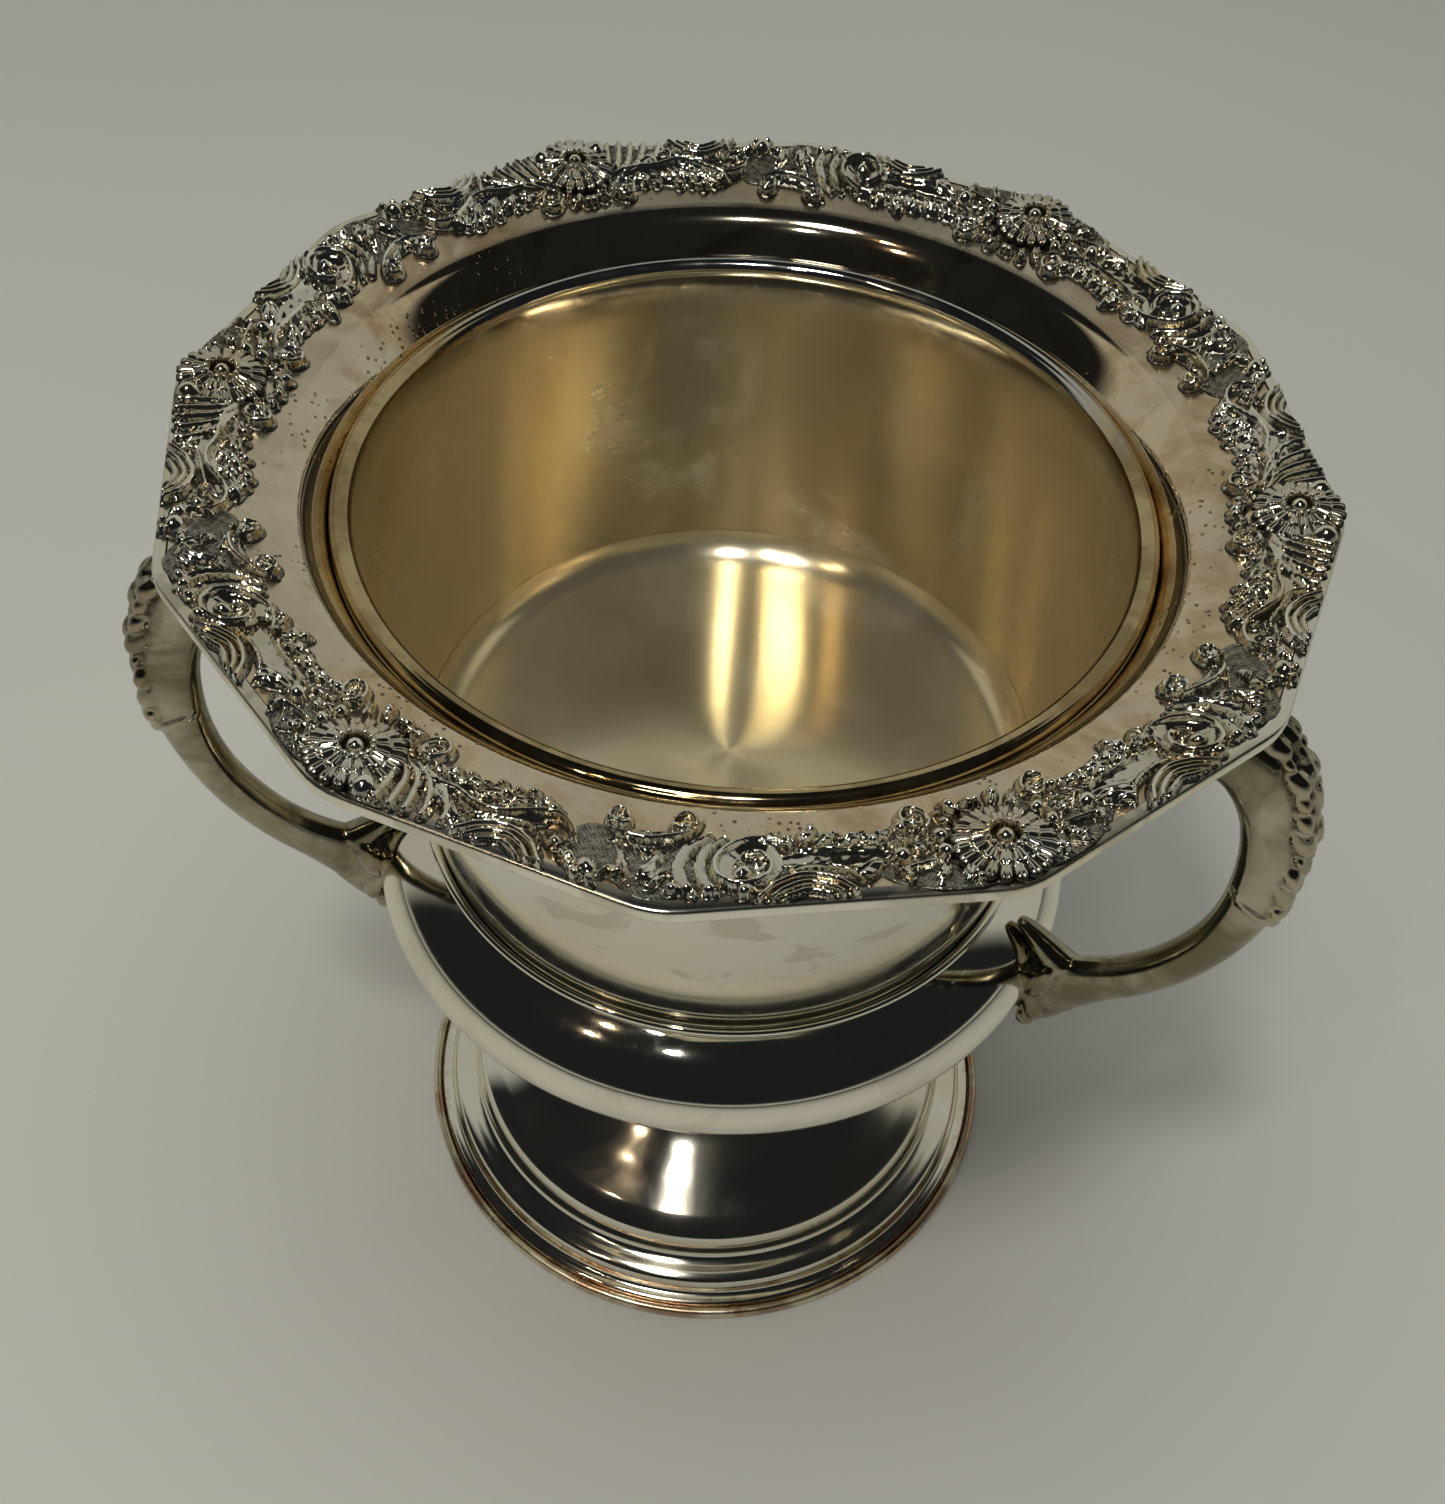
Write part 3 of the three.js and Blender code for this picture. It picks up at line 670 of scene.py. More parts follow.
class Relief:
    """A height map over one casting (s along the border, t from its outer edge inwards)."""

    def __init__(self):
        along = np.linspace(0, SECTOR_LENGTH, BORDER_COLUMNS)
        across = np.linspace(BORDER_INNER_T, BORDER_OUTER_T, BORDER_ROWS)
        self.s, self.t = np.meshgrid(along, across, indexing="ij")
        self.height = np.full(self.s.shape, SUNK)

    def near(self, points, reach):
        """Grid points close to some points, as flat indices and coordinates."""
        lo, hi = points.min(0) - reach, points.max(0) + reach
        inside = (self.s > lo[0]) & (self.s < hi[0]) & (self.t > lo[1]) & (self.t < hi[1])
        index = np.flatnonzero(inside)
        return index, np.stack([self.s.flat[index], self.t.flat[index]], 1)

    def lift(self, index, inside, values):
        values = np.where(inside, values, SUNK)
        self.height.flat[index] = np.maximum(self.height.flat[index], values)

    def form(self, index, inside, values, distance):
        """A feature and the ground out to 0.4 mm round it, falling away beyond that."""
        fall = np.clip((0.75 - distance) / 0.35, 0, 1)
        self.lift(index, inside, values)
        self.lift(index, True, SUNK + (GROUND - SUNK) * fall)

    def ridge(self, points, width, height, start=0.35, end=0.35, gutter=False):
        """A rounded bar along a curve, thinner at its ends; a gutter is hollow along its top."""
        path = smooth_line(points, 7)
        index, at = self.near(path, width / 2 + 1)
        first, span = path[:-1], np.diff(path, axis=0)
        length = np.linalg.norm(span, axis=1)
        reach = np.append(0, np.cumsum(length))
        share = ((at[:, None, :] - first) * span).sum(2) / length**2
        share = np.clip(share, 0, 1)
        gap = np.linalg.norm(at[:, None, :] - first - share[:, :, None] * span, axis=2)
        best = gap.argmin(1)
        rows = np.arange(len(at))
        distance = gap[rows, best]
        along = (reach[best] + share[rows, best] * length[best]) / reach[-1]
        taper = np.minimum(start + (1 - start) * np.clip(along / 0.3, 0, 1),
                           end + (1 - end) * np.clip((1 - along) / 0.3, 0, 1))
        q = distance / (width / 2 * taper)
        crown = np.sqrt(np.clip(1 - q**2, 0, 1))
        if gutter:
            crown = (0.55 + 0.45 * q**2) * np.clip((1 - q) / 0.18, 0, 1)**0.5
        body = height * (0.45 + 0.55 * taper) * crown
        self.form(index, q < 1, body, distance - width / 2 * taper)

    def bead(self, s, t, radius, height, stretch=1.0, turn=0.0):
        """A domed knob, drawn out by stretch in the direction turn, in degrees."""
        centre = np.array([[s, t]])
        index, at = self.near(centre, radius * max(stretch, 1) + 1)
        cos, sin = math.cos(math.radians(turn)), math.sin(math.radians(turn))
        d = at - centre
        u = (d[:, 0] * cos + d[:, 1] * sin) / stretch
        v = -d[:, 0] * sin + d[:, 1] * cos
        q = np.hypot(u, v) / radius
        self.form(index, q < 1, height * np.sqrt(np.clip(1 - q**2, 0, 1)), (q - 1) * radius)

    def leaf(self, root, tip, width, height, bend=0.0, lobes=3):
        """A pointed leaf with a vein down its middle and ribs to its edges."""
        root, tip = np.array(root, float), np.array(tip, float)
        along = tip - root
        length = np.linalg.norm(along)
        along /= length
        across = np.array([-along[1], along[0]])
        index, at = self.near(np.stack([root, tip]), width + abs(bend) + 1)
        d = at - root
        u = (d @ along) / length
        inside = (u > 0) & (u < 1)
        u = np.clip(u, 0.001, 0.999)
        v = d @ across - bend * 4 * u * (1 - u)
        half = width / 2 * np.sin(math.pi * u**0.75)**0.7
        half *= 1 - 0.13 * (0.5 + 0.5 * np.cos(TURN * lobes * u))
        q = np.abs(v) / np.maximum(half, 0.05)
        rise = height * (0.55 + 0.45 * np.sin(math.pi * u**0.9))
        ribs = 0.13 * height * np.cos(TURN * (lobes * u - 0.8 * q))
        vein = 0.3 * height * np.exp(-(v / 0.22)**2)
        body = rise * (1 - 0.62 * q**2) + ribs * np.clip(q * 2, 0, 1) - vein
        self.form(index, inside & (q < 1), body, np.where(inside, np.abs(v) - half, 9))

    def volute(self, s, t, radius, start, turns, height, hand=1, width=1.2):
        """A spiral scroll round a hollow, with a bead in its eye; start is in degrees."""
        share = np.linspace(0, 1, int(9 * turns) + 2)
        angle = math.radians(start) + hand * share * turns * TURN
        r = (radius - width / 2) * (1 - 0.62 * share)
        self.bowl(s, t, radius - width * 0.4, 0.25, height * 0.55)
        self.ridge(np.stack([s + r * np.cos(angle), t + r * np.sin(angle)], 1), width, height,
                   start=0.9, end=0.55)
        self.bead(s - 0.05 * radius, t - 0.12 * radius, radius * 0.34, height * 0.85)

    def bowl(self, s, t, radius, centre, edge):
        """A round hollow that rises from its centre's height to its edge's."""
        index, at = self.near(np.array([[s, t]]), radius)
        q = np.hypot(at[:, 0] - s, at[:, 1] - t) / radius
        self.lift(index, q < 1, centre + (edge - centre) * q**2)

    def patch(self, s, t, half_s, half_t):
        """Plain ground over an ellipse."""
        q = np.hypot((self.s - s) / half_s, (self.t - t) / half_t)
        inside = np.clip((1 - q) / 0.08, 0, 1)
        self.height = np.maximum(self.height, SUNK + (GROUND - SUNK) * inside)

    def chase(self):
        """Punch marks on the ground and a slight unevenness over everything."""
        s, t = self.s, self.t
        wobble = np.sin(s * 1.9 + 1.3 * np.sin(t * 1.1)) * np.sin(t * 2.3 + 0.7 * np.sin(s * 0.8))
        marks = np.sin(s * 7.1 + np.sin(t * 3)) * np.sin(t * 6.7 + np.sin(s * 2.1))
        on_ground = np.clip(1 - np.abs(self.height - GROUND) / 0.2, 0, 1)
        self.height += 0.05 * wobble + 0.13 * marks * on_ground


def scrolls(r):
    """The long scrolls and bands that lead the eye from one rosette to the next."""
    # S-scroll from the first volute to the spiral at a third of the way
    r.ridge([(12, 10.9), (20, 8.9), (26, 8.0), (31, 9.4), (36, 10.9)], 4.4, 1.5, gutter=True)
    r.ridge([(6.4, 17.4), (7.2, 13.9), (10, 11.7), (15, 10.5), (20, 10), (24.5, 8.4), (28.5, 8.7),
             (32, 10.7), (36, 12.7), (39.4, 12.7), (42.1, 10.9), (42.4, 8.2), (40.8, 6.2),
             (38.6, 6.3), (37.5, 8), (38.5, 9.6)], 1.35, 2.7)
    r.ridge([(14, 9.5), (20, 7.4), (23.4, 4.4), (24.8, 6.5), (29, 7.5), (34, 8.6), (36.4, 7.4),
             (37, 5.6), (38.6, 3.4)], 1.0, 2.0)
    r.bead(39.6, 7.6, 1.3, 1.9)
    # yoke of two small volutes over the rim's corner
    r.ridge([(46.2, 17), (46.9, 14.7), (50, 14.1), (54, 14.8), (58, 16.4), (62.4, 18.5),
             (63.7, 20.9)], 1.3, 2.6)
    r.ridge([(50.6, 15.9), (55, 16.7), (59.6, 18.8)], 0.9, 1.9)
    r.volute(48.6, 17.6, 2.9, 200, 1.4, 2.6, hand=-1)
    r.volute(60.3, 20.2, 3.1, -15, 1.4, 2.7)
    # C-bands that hold the large volute
    r.ridge([(65.4, 17), (62, 14.2), (60.8, 10.2), (61.5, 6.5), (63.6, 3)], 2.4, 2.3,
            0.6, 0.7, gutter=True)
    r.ridge([(68, 16.2), (65, 13.2), (64.2, 9.2), (65.2, 5.8), (67.2, 3.2)], 2.0, 2.5,
            0.6, 0.7, gutter=True)
    r.bowl(72.2, 8.8, 5.9, 0.4, 1.9)
    r.ridge([(80.2, 12.3), (77.6, 14.1), (74, 15), (70.1, 14.1), (67.1, 11.3), (66.8, 7.8),
             (69, 4.7), (72.6, 4), (75.5, 6), (76, 9), (74.2, 11.4), (71.7, 11.4), (70.5, 9.8)],
            1.6, 3.0, 0.5, 0.6)
    r.bead(71.4, 7.5, 1.9, 2.5)
    # smooth channel from the large volute to the second rosette
    r.ridge([(75.6, 9.8), (80, 9.5), (86, 9.3), (92, 9.2), (96.5, 9.8)], 4.8, 1.7, gutter=True)
    r.ridge([(79.7, 13.2), (81.3, 11.6), (86, 11.1), (92, 11), (97, 11.2), (101.5, 12.7),
             (104.4, 14.6)], 1.1, 2.6)
    r.ridge([(75.4, 5), (78, 6.7), (82, 7.3), (86, 7), (89, 5.8), (91.6, 3)], 1.1, 2.4)
    # volutes beside the rosettes
    r.volute(9.9, 17.5, 3.7, 150, 1.5, 2.8, hand=-1, width=1.4)
    r.volute(103.3, 17.5, 3.7, -60, 1.5, 2.8, width=1.4)


def gadroons(r):
    """Ribbed arches along the outer edge."""
    for left, rise in ((24.0, 6.2), (74.0, 5.6)):
        for rib, inset in enumerate((0.0, 2.0, 4.0)):
            top = rise - 1.6 * rib
            half = 7.6 - inset
            middle = left + 7.6
            r.ridge([(middle - half, 1.3), (middle - half * 0.62, top * 0.72), (middle, top),
                     (middle + half * 0.62, top * 0.74), (middle + half, 1.2)], 1.5 - 0.1 * rib,
                    2.4 - 0.35 * rib, 0.8, 0.8)


def foliage(r):
    """Leaves, ribs and knobs, from the first rosette to the second."""
    fan = ((5.6, 12.6, 9.6, 1.9), (7.0, 13.0, 12.4, 1.5), (8.2, 13.4, 15.0, 1.8),
           (9.4, 13.6, 18.0, 1.9), (10.8, 13.2, 21.4, 2.3))
    for s0, t0, s1, t1 in fan:
        r.ridge([(s0, t0), (s0 + 0.62 * (s1 - s0), t0 - 0.34 * (t0 - t1)), (s1 - 0.5, t1 + 2.6),
                 (s1, t1)], 1.7, 2.3, 0.5, 0.75)
    r.leaf((13, 10.2), (23.2, 3.0), 3.4, 2.3, bend=0.9)
    for root, tip, width in (
        ((11.5, 14.2), (20.5, 12.4), 2.6), ((17.5, 11.6), (24.6, 14.9), 3.0),
        ((22.6, 10.4), (29.4, 14.8), 3.4), ((27.6, 10.4), (33.8, 15.2), 3.2),
        ((32, 13.2), (38.8, 14.9), 2.8), ((79.2, 13.6), (71.2, 16.6), 2.8),
        ((81, 13.2), (77.2, 17.2), 2.6), ((82, 12.8), (84.9, 18.6), 3.4),
        ((83.6, 12.4), (90, 15.8), 3.2), ((88, 12.4), (95.2, 15.1), 3.2),
        ((93.2, 12.6), (100, 15.4), 3.0),
    ):
        r.leaf(root, tip, width, 2.4, bend=0.4)
    for root, tip, width in (
        ((41.2, 6.4), (44.4, 2.2), 2.6), ((52.4, 5.2), (49.9, 12.2), 2.7),
        ((54.4, 5.2), (58.6, 13.9), 2.7), ((56.2, 4.2), (59.4, 10), 2.2),
        ((89.4, 4.8), (96, 8.6), 4.2), ((97.6, 6.6), (99.1, 1.5), 1.8),
        ((105.6, 6.4), (102.2, 1.0), 2.0), ((109, 5.8), (106.8, 1.2), 1.9),
        ((113.6, 5), (112, 1.4), 1.8), ((1.4, 19.2), (5.2, 21.6), 2.4),
        ((110.4, 15.8), (107.2, 19.8), 2.6), ((113.4, 19), (109.6, 21.8), 2.2),
        ((4.2, 16.2), (5.6, 19.2), 2.0), ((100.4, 9.8), (105.4, 11.6), 2.4),
    ):
        r.leaf(root, tip, width, 2.6, lobes=2)
    r.ridge([(47.6, 12.4), (51, 13.3), (55, 12.3), (57.2, 13.6)], 0.9, 1.7)
    r.ridge([(48.2, 2.4), (49.6, 5.6), (52, 5.9), (53.6, 4.2)], 1.1, 1.9)
    r.ridge([(96, 4.8), (101, 6.3), (106, 7.6)], 1.2, 2.1)
    for s, t, radius in (
        (2.2, 3.4, 1.3), (6.2, 9.8, 1.5), (21.8, 13.1, 1.1), (27.1, 13.9, 1.3), (31.3, 16.4, 1.4),
        (36.4, 14.2, 1.5), (16, 15.1, 1.1), (19, 15.3, 1.0), (25, 15.8, 1.2), (28.4, 15.6, 1.1),
        (34.3, 15.9, 1.1), (43.2, 4.8, 1.5), (45, 1.9, 1.1), (47.5, 1.8, 1.1), (60.3, 4.7, 1.3),
        (62.7, 4.6, 1.2), (66.2, 3.9, 1.4), (71.7, 3.0, 1.5), (76.5, 16.2, 1.1), (84, 17.0, 1.2),
        (82.4, 15.3, 1.3), (86.6, 14.5, 1.1), (94.6, 13.1, 1.4), (100.4, 15.8, 1.5),
        (98.4, 8.6, 2.0), (106, 9.2, 1.7), (106.6, 13, 1.8), (111.5, 21, 1.5), (50.6, 5.3, 1.0),
        (0.8, 21.4, 1.4), (115.6, 21.2, 1.3), (4.6, 20.1, 1.0), (109.4, 2.8, 1.0),
    ):
        r.bead(s, t, radius, 1.35 * radius + 0.75)
    r.bead(6.6, 3.9, 2.2, 3.3, 1.3, 110)
    r.bead(46.4, 4.1, 2.1, 3.0)
    r.patch(46, 10.5, 5.5, 5.5)
    r.patch(56, 9.5, 8, 8)
    r.patch(8, 9, 14, 9)
    r.patch(106, 9, 14, 9)


def border_castings():
    """Six castings with one relief, laid along the flange from rosette to rosette."""
    relief = Relief()
    scrolls(relief)
    gadroons(relief)
    foliage(relief)
    relief.chase()
    angle = relief.s / ROSETTE_CENTRE_R
    radius = soft_side_radius(RIM_CORNER_R, angle) - relief.t
    flange = rim_top(radius, angle)
    for number in range(1, ROSETTE_COUNT + 1):
        height = relief.height[::-1] if number in MIRRORED_BORDERS else relief.height
        turn = angle + RIM_TURN + (number - 1) * SECTOR
        x, y = radius * np.cos(turn), radius * np.sin(turn)
        top = np.stack([x, y, flange + height], -1)
        under = np.stack([x, y, flange - BORDER_DEPTH], -1)[:, [0, -1]]
        verts = np.vstack([top.reshape(-1, 3), under.reshape(-1, 3)])
        add_slab(f"border_{number}", verts, height, f"border_casting_{number}")


def add_slab(name, verts, height, node):
    """Closes a height map with walls and an underside."""
    columns, rows = height.shape
    top = np.arange(columns * rows).reshape(columns, rows)
    under = columns * rows + np.arange(columns * 2).reshape(columns, 2)
    quads = np.stack([top[:-1, :-1], top[:-1, 1:], top[1:, 1:], top[1:, :-1]], -1).reshape(-1, 4)
    faces = quads.tolist()
    for i in range(columns - 1):
        faces += [(top[i, 0], top[i + 1, 0], under[i + 1, 0], under[i, 0]),
                  (top[i + 1, -1], top[i, -1], under[i, 1], under[i + 1, 1]),
                  (under[i, 0], under[i + 1, 0], under[i + 1, 1], under[i, 1])]
    faces += [[*under[0], *top[0, ::-1]], [*under[-1, ::-1], *top[-1]]]
    piece = add_mesh(name, verts, faces, [CAST], [node], crease=75)
    store_relief(piece, np.append(height.ravel(), np.full(columns * 2, GROUND)))


def store_relief(piece, values):
    """Gives every vertex its height over the ground, which the materials read."""
    layer = piece.data.attributes.new("relief", "FLOAT", "POINT")
    layer.data.foreach_set("value", np.asarray(values, np.float32))


# ---------- rosettes


def rosette_height(radius, angle):
    """Height of a daisy over its seat: two rings of petals, a ring of beads and a domed boss."""
    def petals(count, reach, lift, shift, uneven):
        across = np.abs(np.mod((angle + uneven) / TURN * count + shift, 1.0) - 0.5) * 2
        edge = reach * (1 - PETAL_NOTCH * across**2.4) * (1 - 1.6 * np.abs(uneven))
        inside = radius < edge
        share = np.clip(radius / reach, 0, 1)
        crown = lift + 0.8 * (1 - share)**1.4 + 0.22 * np.sin(share * math.pi)
        valley = 0.85 * across**3 * (0.4 + 0.6 * share)
        groove = 0.28 * np.exp(-(across / 0.16)**2) * share
        tip = 0.5 * np.clip((share - 0.86) / 0.14, 0, 1)**2
        return np.where(inside, crown - valley - groove - tip, -9)

    def dome(q, foot, rise):
        return foot + rise * np.sqrt(np.clip(1 - q**2, 0, 1)) - 9 * (q > 1)

    uneven = 0.05 * np.sin(3 * angle + 4.5) + 0.03 * np.sin(5 * angle + 2)
    height = petals(PETALS, ROSETTE_R, 1.15, 0.0, 0.0)
    height = np.maximum(height, petals(INNER_PETALS, ROSETTE_R * 0.72, 1.95, 0.5, uneven))
    pit_r, boss_r = 2.7, 1.75
    height = np.where(radius < pit_r, np.minimum(height, 0.4), height)
    ring_r, bead_r, beads = 3.2, 0.62, 14
    around = (np.mod(angle / TURN * beads, 1.0) - 0.5) * TURN / beads * ring_r
    height = np.maximum(height, dome(np.hypot(around, radius - ring_r) / bead_r, 2.3, 0.9))
    return np.maximum(height, dome(radius / boss_r, 1.2, 2.1))


def rosettes():
    """Six daisies: one disc of petals, closed underneath and set on the flange's slope."""
    columns, rows = 320, 60
    angle = (np.arange(columns) / columns * TURN)[:, None]
    across = np.abs(np.mod(angle / TURN * PETALS, 1.0) - 0.5) * 2
    edge = ROSETTE_R * (1 - PETAL_NOTCH * across**2.4) - 0.01
    share = np.linspace(0.02, 1, rows)[None, :]
    radius = edge * share
    height = rosette_height(radius, angle + 0 * radius)
    tilt = math.atan(FLANGE_SLOPE)
    top = np.stack([radius * np.cos(angle), radius * np.sin(angle), height], -1)
    under = np.stack([top[:, -1, 0], top[:, -1, 1], np.full(columns, -0.2)], -1)
    verts = np.vstack([top.reshape(-1, 3), under])
    index = np.arange(columns * rows).reshape(columns, rows)
    skirt = columns * rows + np.arange(columns)
    after = np.roll(np.arange(columns), -1)
    faces = np.stack([index[:, :-1], index[:, 1:], index[after, 1:], index[after, :-1]],
                     -1).reshape(-1, 4).tolist()
    faces += [(index[i, -1], skirt[i], skirt[k], index[k, -1]) for i, k in enumerate(after)]
    faces += [index[::-1, 0].tolist(), skirt[::-1].tolist()]
    for number in range(1, ROSETTE_COUNT + 1):
        direction = RIM_TURN + (number - 1) * SECTOR
        centre = (ROSETTE_CENTRE_R, 0, flange_z(ROSETTE_CENTRE_R) + ROSETTE_SEAT)
        m = np.array(Matrix.Rotation(direction, 4, "Z") @ Matrix.Translation(centre)
                     @ Matrix.Rotation(-tilt, 4, "Y"))
        placed = verts @ m[:3, :3].T + m[:3, 3]
        piece = add_mesh(f"daisy_{number}", placed, faces, [CAST],
                         [f"rosette_{number}"], crease=75)
        store_relief(piece, np.append(height.ravel() * 0.9 - 0.4, np.zeros(columns)))


border_castings()
rosettes()

# ---------- cast handles


def sweep(bm, stations, sides=28):
    """Adds a closed bar to bm: stations are (radius, height, depth in plane, width across)."""
    path = smooth_line(np.array(stations, float), 6)
    centre = path[:, :2]
    along = np.gradient(centre, axis=0)
    along /= np.linalg.norm(along, axis=1)[:, None]
    side = np.stack([along[:, 1], -along[:, 0]], 1)
    angle = np.arange(sides) / sides * TURN
    rings = []
    for at, out, (depth, width) in zip(centre, side, path[:, 2:]):
        rings.append([bm.verts.new((at[0] + out[0] * depth / 2 * p, width / 2 * q,
                                    at[1] + out[1] * depth / 2 * p))
                      for p, q in zip(np.cos(angle), np.sin(angle))])
    for a, b in zip(rings[:-1], rings[1:]):
        for i in range(sides):
            k = (i + 1) % sides
            bm.faces.new((a[i], b[i], b[k], a[k]))
    bm.faces.new(rings[0])
    bm.faces.new(rings[-1][::-1])


def ball(bm, at, size, lean=0.0, twist=0.0):
    """Adds an ellipsoid: at and size are (radius, across, height); lean turns it in the plane."""
    place = (Matrix.Translation(at) @ Matrix.Rotation(math.radians(-lean), 4, "Y")
             @ Matrix.Rotation(math.radians(twist), 4, "X") @ Matrix.Diagonal((*size, 1)))
    bmesh.ops.create_uvsphere(bm, u_segments=20, v_segments=12, radius=1, matrix=place)


def handle_form():
    """One handle in its own plane, +X outwards, before it is fused into one casting."""
    bm = bmesh.new()
    sweep(bm, [
        (80, 107.5, 25, 10), (86, 108.4, 24, 9.6), (92, 111.5, 18.5, 9), (100, 117.6, 13, 8.8),
        (108.5, 125.6, 10.8, 9), (116, 136, 10.2, 9.4), (121.6, 148, 10.2, 9.8),
        (124.8, 160, 11.2, 10), (126.2, 172, 13.0, 10), (125.6, 184, 14.6, 9.8),
        (122.4, 195, 16.0, 9.6), (115, 203.6, 16.6, 9.4), (104, 206.4, 16.4, 9.2),
        (94, 205.6, 16.0, 9.4), (84, 204.8, 16.4, 10.0),
    ])
    # acanthus leaf over the shoulder: a rib down the middle, uneven lobes to both sides
    rib = smooth_line([(104, 216.4), (112, 218.2), (120, 214.4), (126.4, 207.4), (130.4, 198),
                       (132.6, 187), (132.6, 176)], 2)
    for step, (r, z) in enumerate(rib):
        r0, z0 = rib[max(step - 1, 0)]
        r1, z1 = rib[min(step + 1, len(rib) - 1)]
        lean = math.degrees(math.atan2(z1 - z0, r1 - r0))
        swell = 1 + 0.30 * math.sin(2.3 * step) + 0.14 * math.sin(4.9 * step)
        ball(bm, (r - 0.8, 0, z), (4.4, 1.5, 2.0 + 0.5 * math.sin(3.7 * step)), lean)
        for hand in (-1, 1):
            ball(bm, (r - 1.8, hand * 3.1, z - 0.5), (3.3 * swell, 2.5, 2.0 * swell), lean + 20,
                 hand * 26)
    # the leaf's end wraps the bar and its tip curls outwards
    ball(bm, (126.4, 0, 167.4), (7.2, 5.9, 2.3), -24)
    ball(bm, (131.2, 0, 169.4), (2.6, 5.4, 3.4), 8)
    ball(bm, (131.0, 0, 164.4), (2.0, 3.8, 2.0), -30)
    # spur and leaf tips where the bar meets the bulge
    sweep(bm, [(95, 107, 8, 7), (91.5, 100, 6.4, 6), (88.6, 95, 4.6, 4.6),
               (86.4, 91.6, 3.2, 3.4)], 20)
    ball(bm, (87.0, 0, 92.2), (2.7, 2.7, 2.4))
    sweep(bm, [(92, 118, 8, 8.6), (86.5, 122, 6, 7), (82, 125.4, 4, 5), (79, 127.2, 2.4, 3)], 20)
    for hand in (-1, 1):
        ball(bm, (88.5, hand * 4.4, 113), (2.6, 1.8, 6.5), -14)
        ball(bm, (88.6, hand * 3.9, 102), (2.6, 1.9, 4.6), 16)
    # pads where the upper end meets the neck
    ball(bm, (87, 0, 205), (3.2, 6.4, 9.6))
    return bm


def read(items, field, width, kind=float):
    values = np.zeros(len(items) * width, kind)
    items.foreach_get(field, values)
    return values.reshape(-1, width)


def fused(bm, voxel):
    """Runs the solids together into one casting: its vertices, edges, normals and faces."""
    mesh = bpy.data.meshes.new("form")
    bm.to_mesh(mesh)
    bm.free()
    form = add_object("form", mesh)
    remesh = form.modifiers.new("fuse", "REMESH")
    remesh.mode = "VOXEL"
    remesh.voxel_size = voxel
    depsgraph = bpy.context.evaluated_depsgraph_get()
    result = bpy.data.meshes.new_from_object(form.evaluated_get(depsgraph))
    bpy.data.objects.remove(form)
    return (read(result.vertices, "co", 3), read(result.edges, "vertices", 2, np.int32),
            read(result.vertices, "normal", 3), [tuple(face.vertices) for face in result.polygons])


def relaxed(verts, edges, rounds):
    """Each vertex moved half of the way to the middle of its neighbours, a number of times."""
    count = np.bincount(edges.ravel(), minlength=len(verts))[:, None]
    for _ in range(rounds):
        total = np.zeros_like(verts)
        np.add.at(total, edges[:, 0], verts[edges[:, 1]])
        np.add.at(total, edges[:, 1], verts[edges[:, 0]])
        verts = verts + 0.5 * (total / np.maximum(count, 1) - verts)
    return verts


def seated(verts):
    """Vertices that would pass into the cup are brought back to just under its skin."""
    under = 0.5
    x, y, z = verts.T
    radius = np.hypot(x, y)
    neck = np.where(z > JOINT_Z, neck_r(z) - under, 0)
    a, b = BULGE_WIDTH - under, BULGE_HEIGHT - under
    level = np.hypot((radius - BULGE_CENTRE_R) / a, (z - BULGE_CENTRE_Z) / b)
    in_bulge = (level < 1) & (z <= JOINT_Z)
    grow = np.where(in_bulge, 1 / np.maximum(level, 0.2), 1)
    new_r = np.maximum(BULGE_CENTRE_R + (radius - BULGE_CENTRE_R) * grow, neck)
    new_z = BULGE_CENTRE_Z + (z - BULGE_CENTRE_Z) * grow
    return np.stack([x * new_r / radius, y * new_r / radius, new_z], 1)


def handles():
    """One casting, turned to both sides; its relief is measured from a smoother one."""
    verts, edges, normals, faces = fused(handle_form(), voxel=0.5)
    verts = relaxed(verts, edges, rounds=5)
    relief = ((verts - relaxed(verts, edges, rounds=40)) * normals).sum(1)
    verts = seated(verts)
    for name, direction in (("handle_right", -HANDLE_LEAN), ("handle_left", math.pi + HANDLE_LEAN)):
        turn = np.array(Matrix.Rotation(direction, 3, "Z"))
        piece = add_mesh(f"{name}_casting", verts @ turn.T, faces, [HANDLE_SILVER],
                         [name], crease=80)
        store_relief(piece, relief)


handles()

# ---------- floor, light and camera

LAMP_AIM = Vector((0, 0, 0.1))
WHITE_LIGHT = (1.0, 0.98, 0.94)


def floor():
    """A wide table, so that no edge of it shows from any side."""
    bpy.ops.mesh.primitive_plane_add(size=40, location=(0, 0, 0))
    plane = bpy.context.object
    plane.name = "floor"
    n = Nodes("pale_floor")
    wash = n.noise(1.2, 2, 0.5)
    base = n.mix(n.step(wash, 0.3, 0.7), (0.52, 0.525, 0.49), (0.56, 0.565, 0.53))
    plane.data.materials.append(n.done(base, 0.55, 0.0))


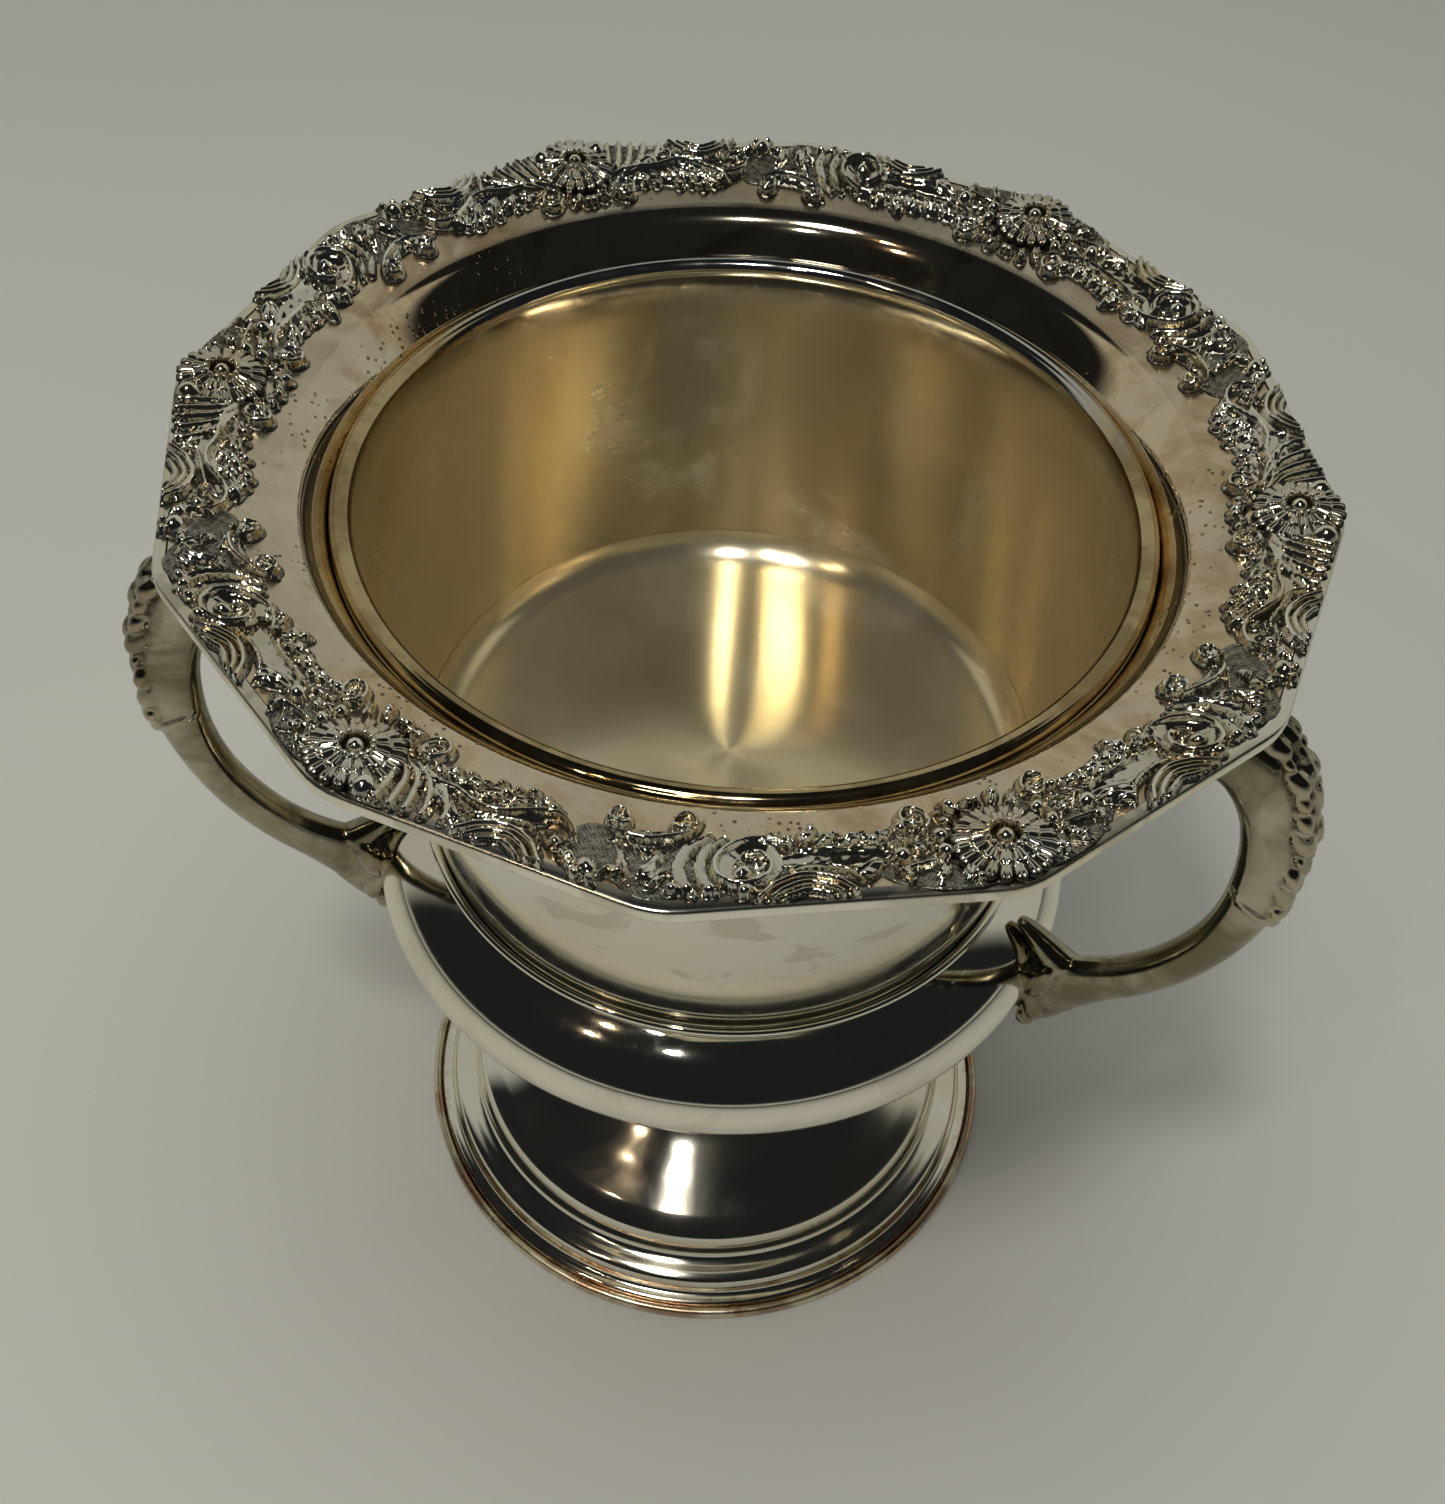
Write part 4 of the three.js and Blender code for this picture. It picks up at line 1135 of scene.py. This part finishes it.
def room():
    """Pale behind the cup and below; dark in front and overhead, as where the viewer stands."""
    world = bpy.data.worlds.new("studio")
    bpy.context.scene.world = world
    world.use_nodes = True
    n = Graph(world.node_tree, "Generated")
    x, y, z = n.split()
    away = n.plus(n.times(x, -0.13), n.times(y, 0.99))
    behind = n.times(n.step(away, 0.12, 0.26), n.step(z, 0.785, 0.815, 1.0, 0.0))
    below = n.step(z, 0.0, 0.08, 1.0, 0.0)
    seen = n.add("ShaderNodeLightPath").outputs["Is Camera Ray"]  # the backdrop itself is pale
    pale = n.math("MAXIMUM", n.math("MAXIMUM", behind, below), seen)
    background = world.node_tree.nodes["Background"]
    n.fill(background, {0: n.mix(pale, (0.012, 0.013, 0.014), (0.37, 0.37, 0.335))})


def lamp(name, at, size, watts, tint, glossy=True):
    """A round lamp that faces the cup; one that isn't glossy gives no reflection."""
    light = bpy.data.lights.new(name, "AREA")
    light.shape = "DISK"
    light.size = size
    light.energy = watts
    light.color = tint
    lamp_object = add_object(name, light)
    lamp_object.location = at
    lamp_object.rotation_euler = (LAMP_AIM - Vector(at)).to_track_quat("-Z", "Y").to_euler()
    lamp_object.visible_glossy = glossy
    lamp_object.visible_camera = False
    return lamp_object


def lights_only(lamp_object, *names):
    """Limits a lamp to the named pieces; on the table a small one would throw a hard shadow."""
    lit = bpy.data.collections.new(f"{lamp_object.name}_lit")
    for name in names:
        lit.objects.link(bpy.data.objects[name])
    lamp_object.light_linking.receiver_collection = lit


def camera():
    """The viewing angle: from in front, high up, turned a little clockwise."""
    at = Vector((0.0385, -0.2884, 0.4683))
    aim = Vector((-0.0014, -0.0002, 0.1411))
    roll = math.radians(3.89)
    data = bpy.data.cameras.new("camera")
    data.lens = 43.0  # on a sensor 36 mm wide
    data.sensor_width = 36.0
    data.clip_start = 0.01
    eye = add_object("camera", data)
    turn = (aim - at).to_track_quat("-Z", "Y").to_matrix() @ Matrix.Rotation(roll, 3, "Z")
    eye.matrix_world = Matrix.Translation(at) @ turn.to_4x4()
    bpy.context.scene.camera = eye


floor()
room()
lamp("overhead_soft", (-0.1, 0.0, 1.9), 1.6, 16, (1.0, 0.99, 0.94), glossy=False)
lamp("key", (-0.20, -0.66, 1.90), 0.26, 9.0, WHITE_LIGHT)
lamp("warm_bulb_high", (-0.60, -0.90, 1.90), 0.04, 1.2, (1.0, 0.76, 0.50))
lamp("warm_bulb_low", (-0.72, -1.10, 1.62), 0.04, 1.2, (1.0, 0.78, 0.54))
lamp("ceiling_strip", (-0.10, -1.20, 1.84), 0.09, 1.5, WHITE_LIGHT)
slit = lamp("slit", (0.17, -0.64, 1.90), 0.04, 8.0, (0.98, 0.98, 1.0))
lights_only(slit, "upper_bowl_spun", "throat_roll", "cup_floor_disc")
camera()

bpy.context.scene.view_settings.view_transform = "Standard"
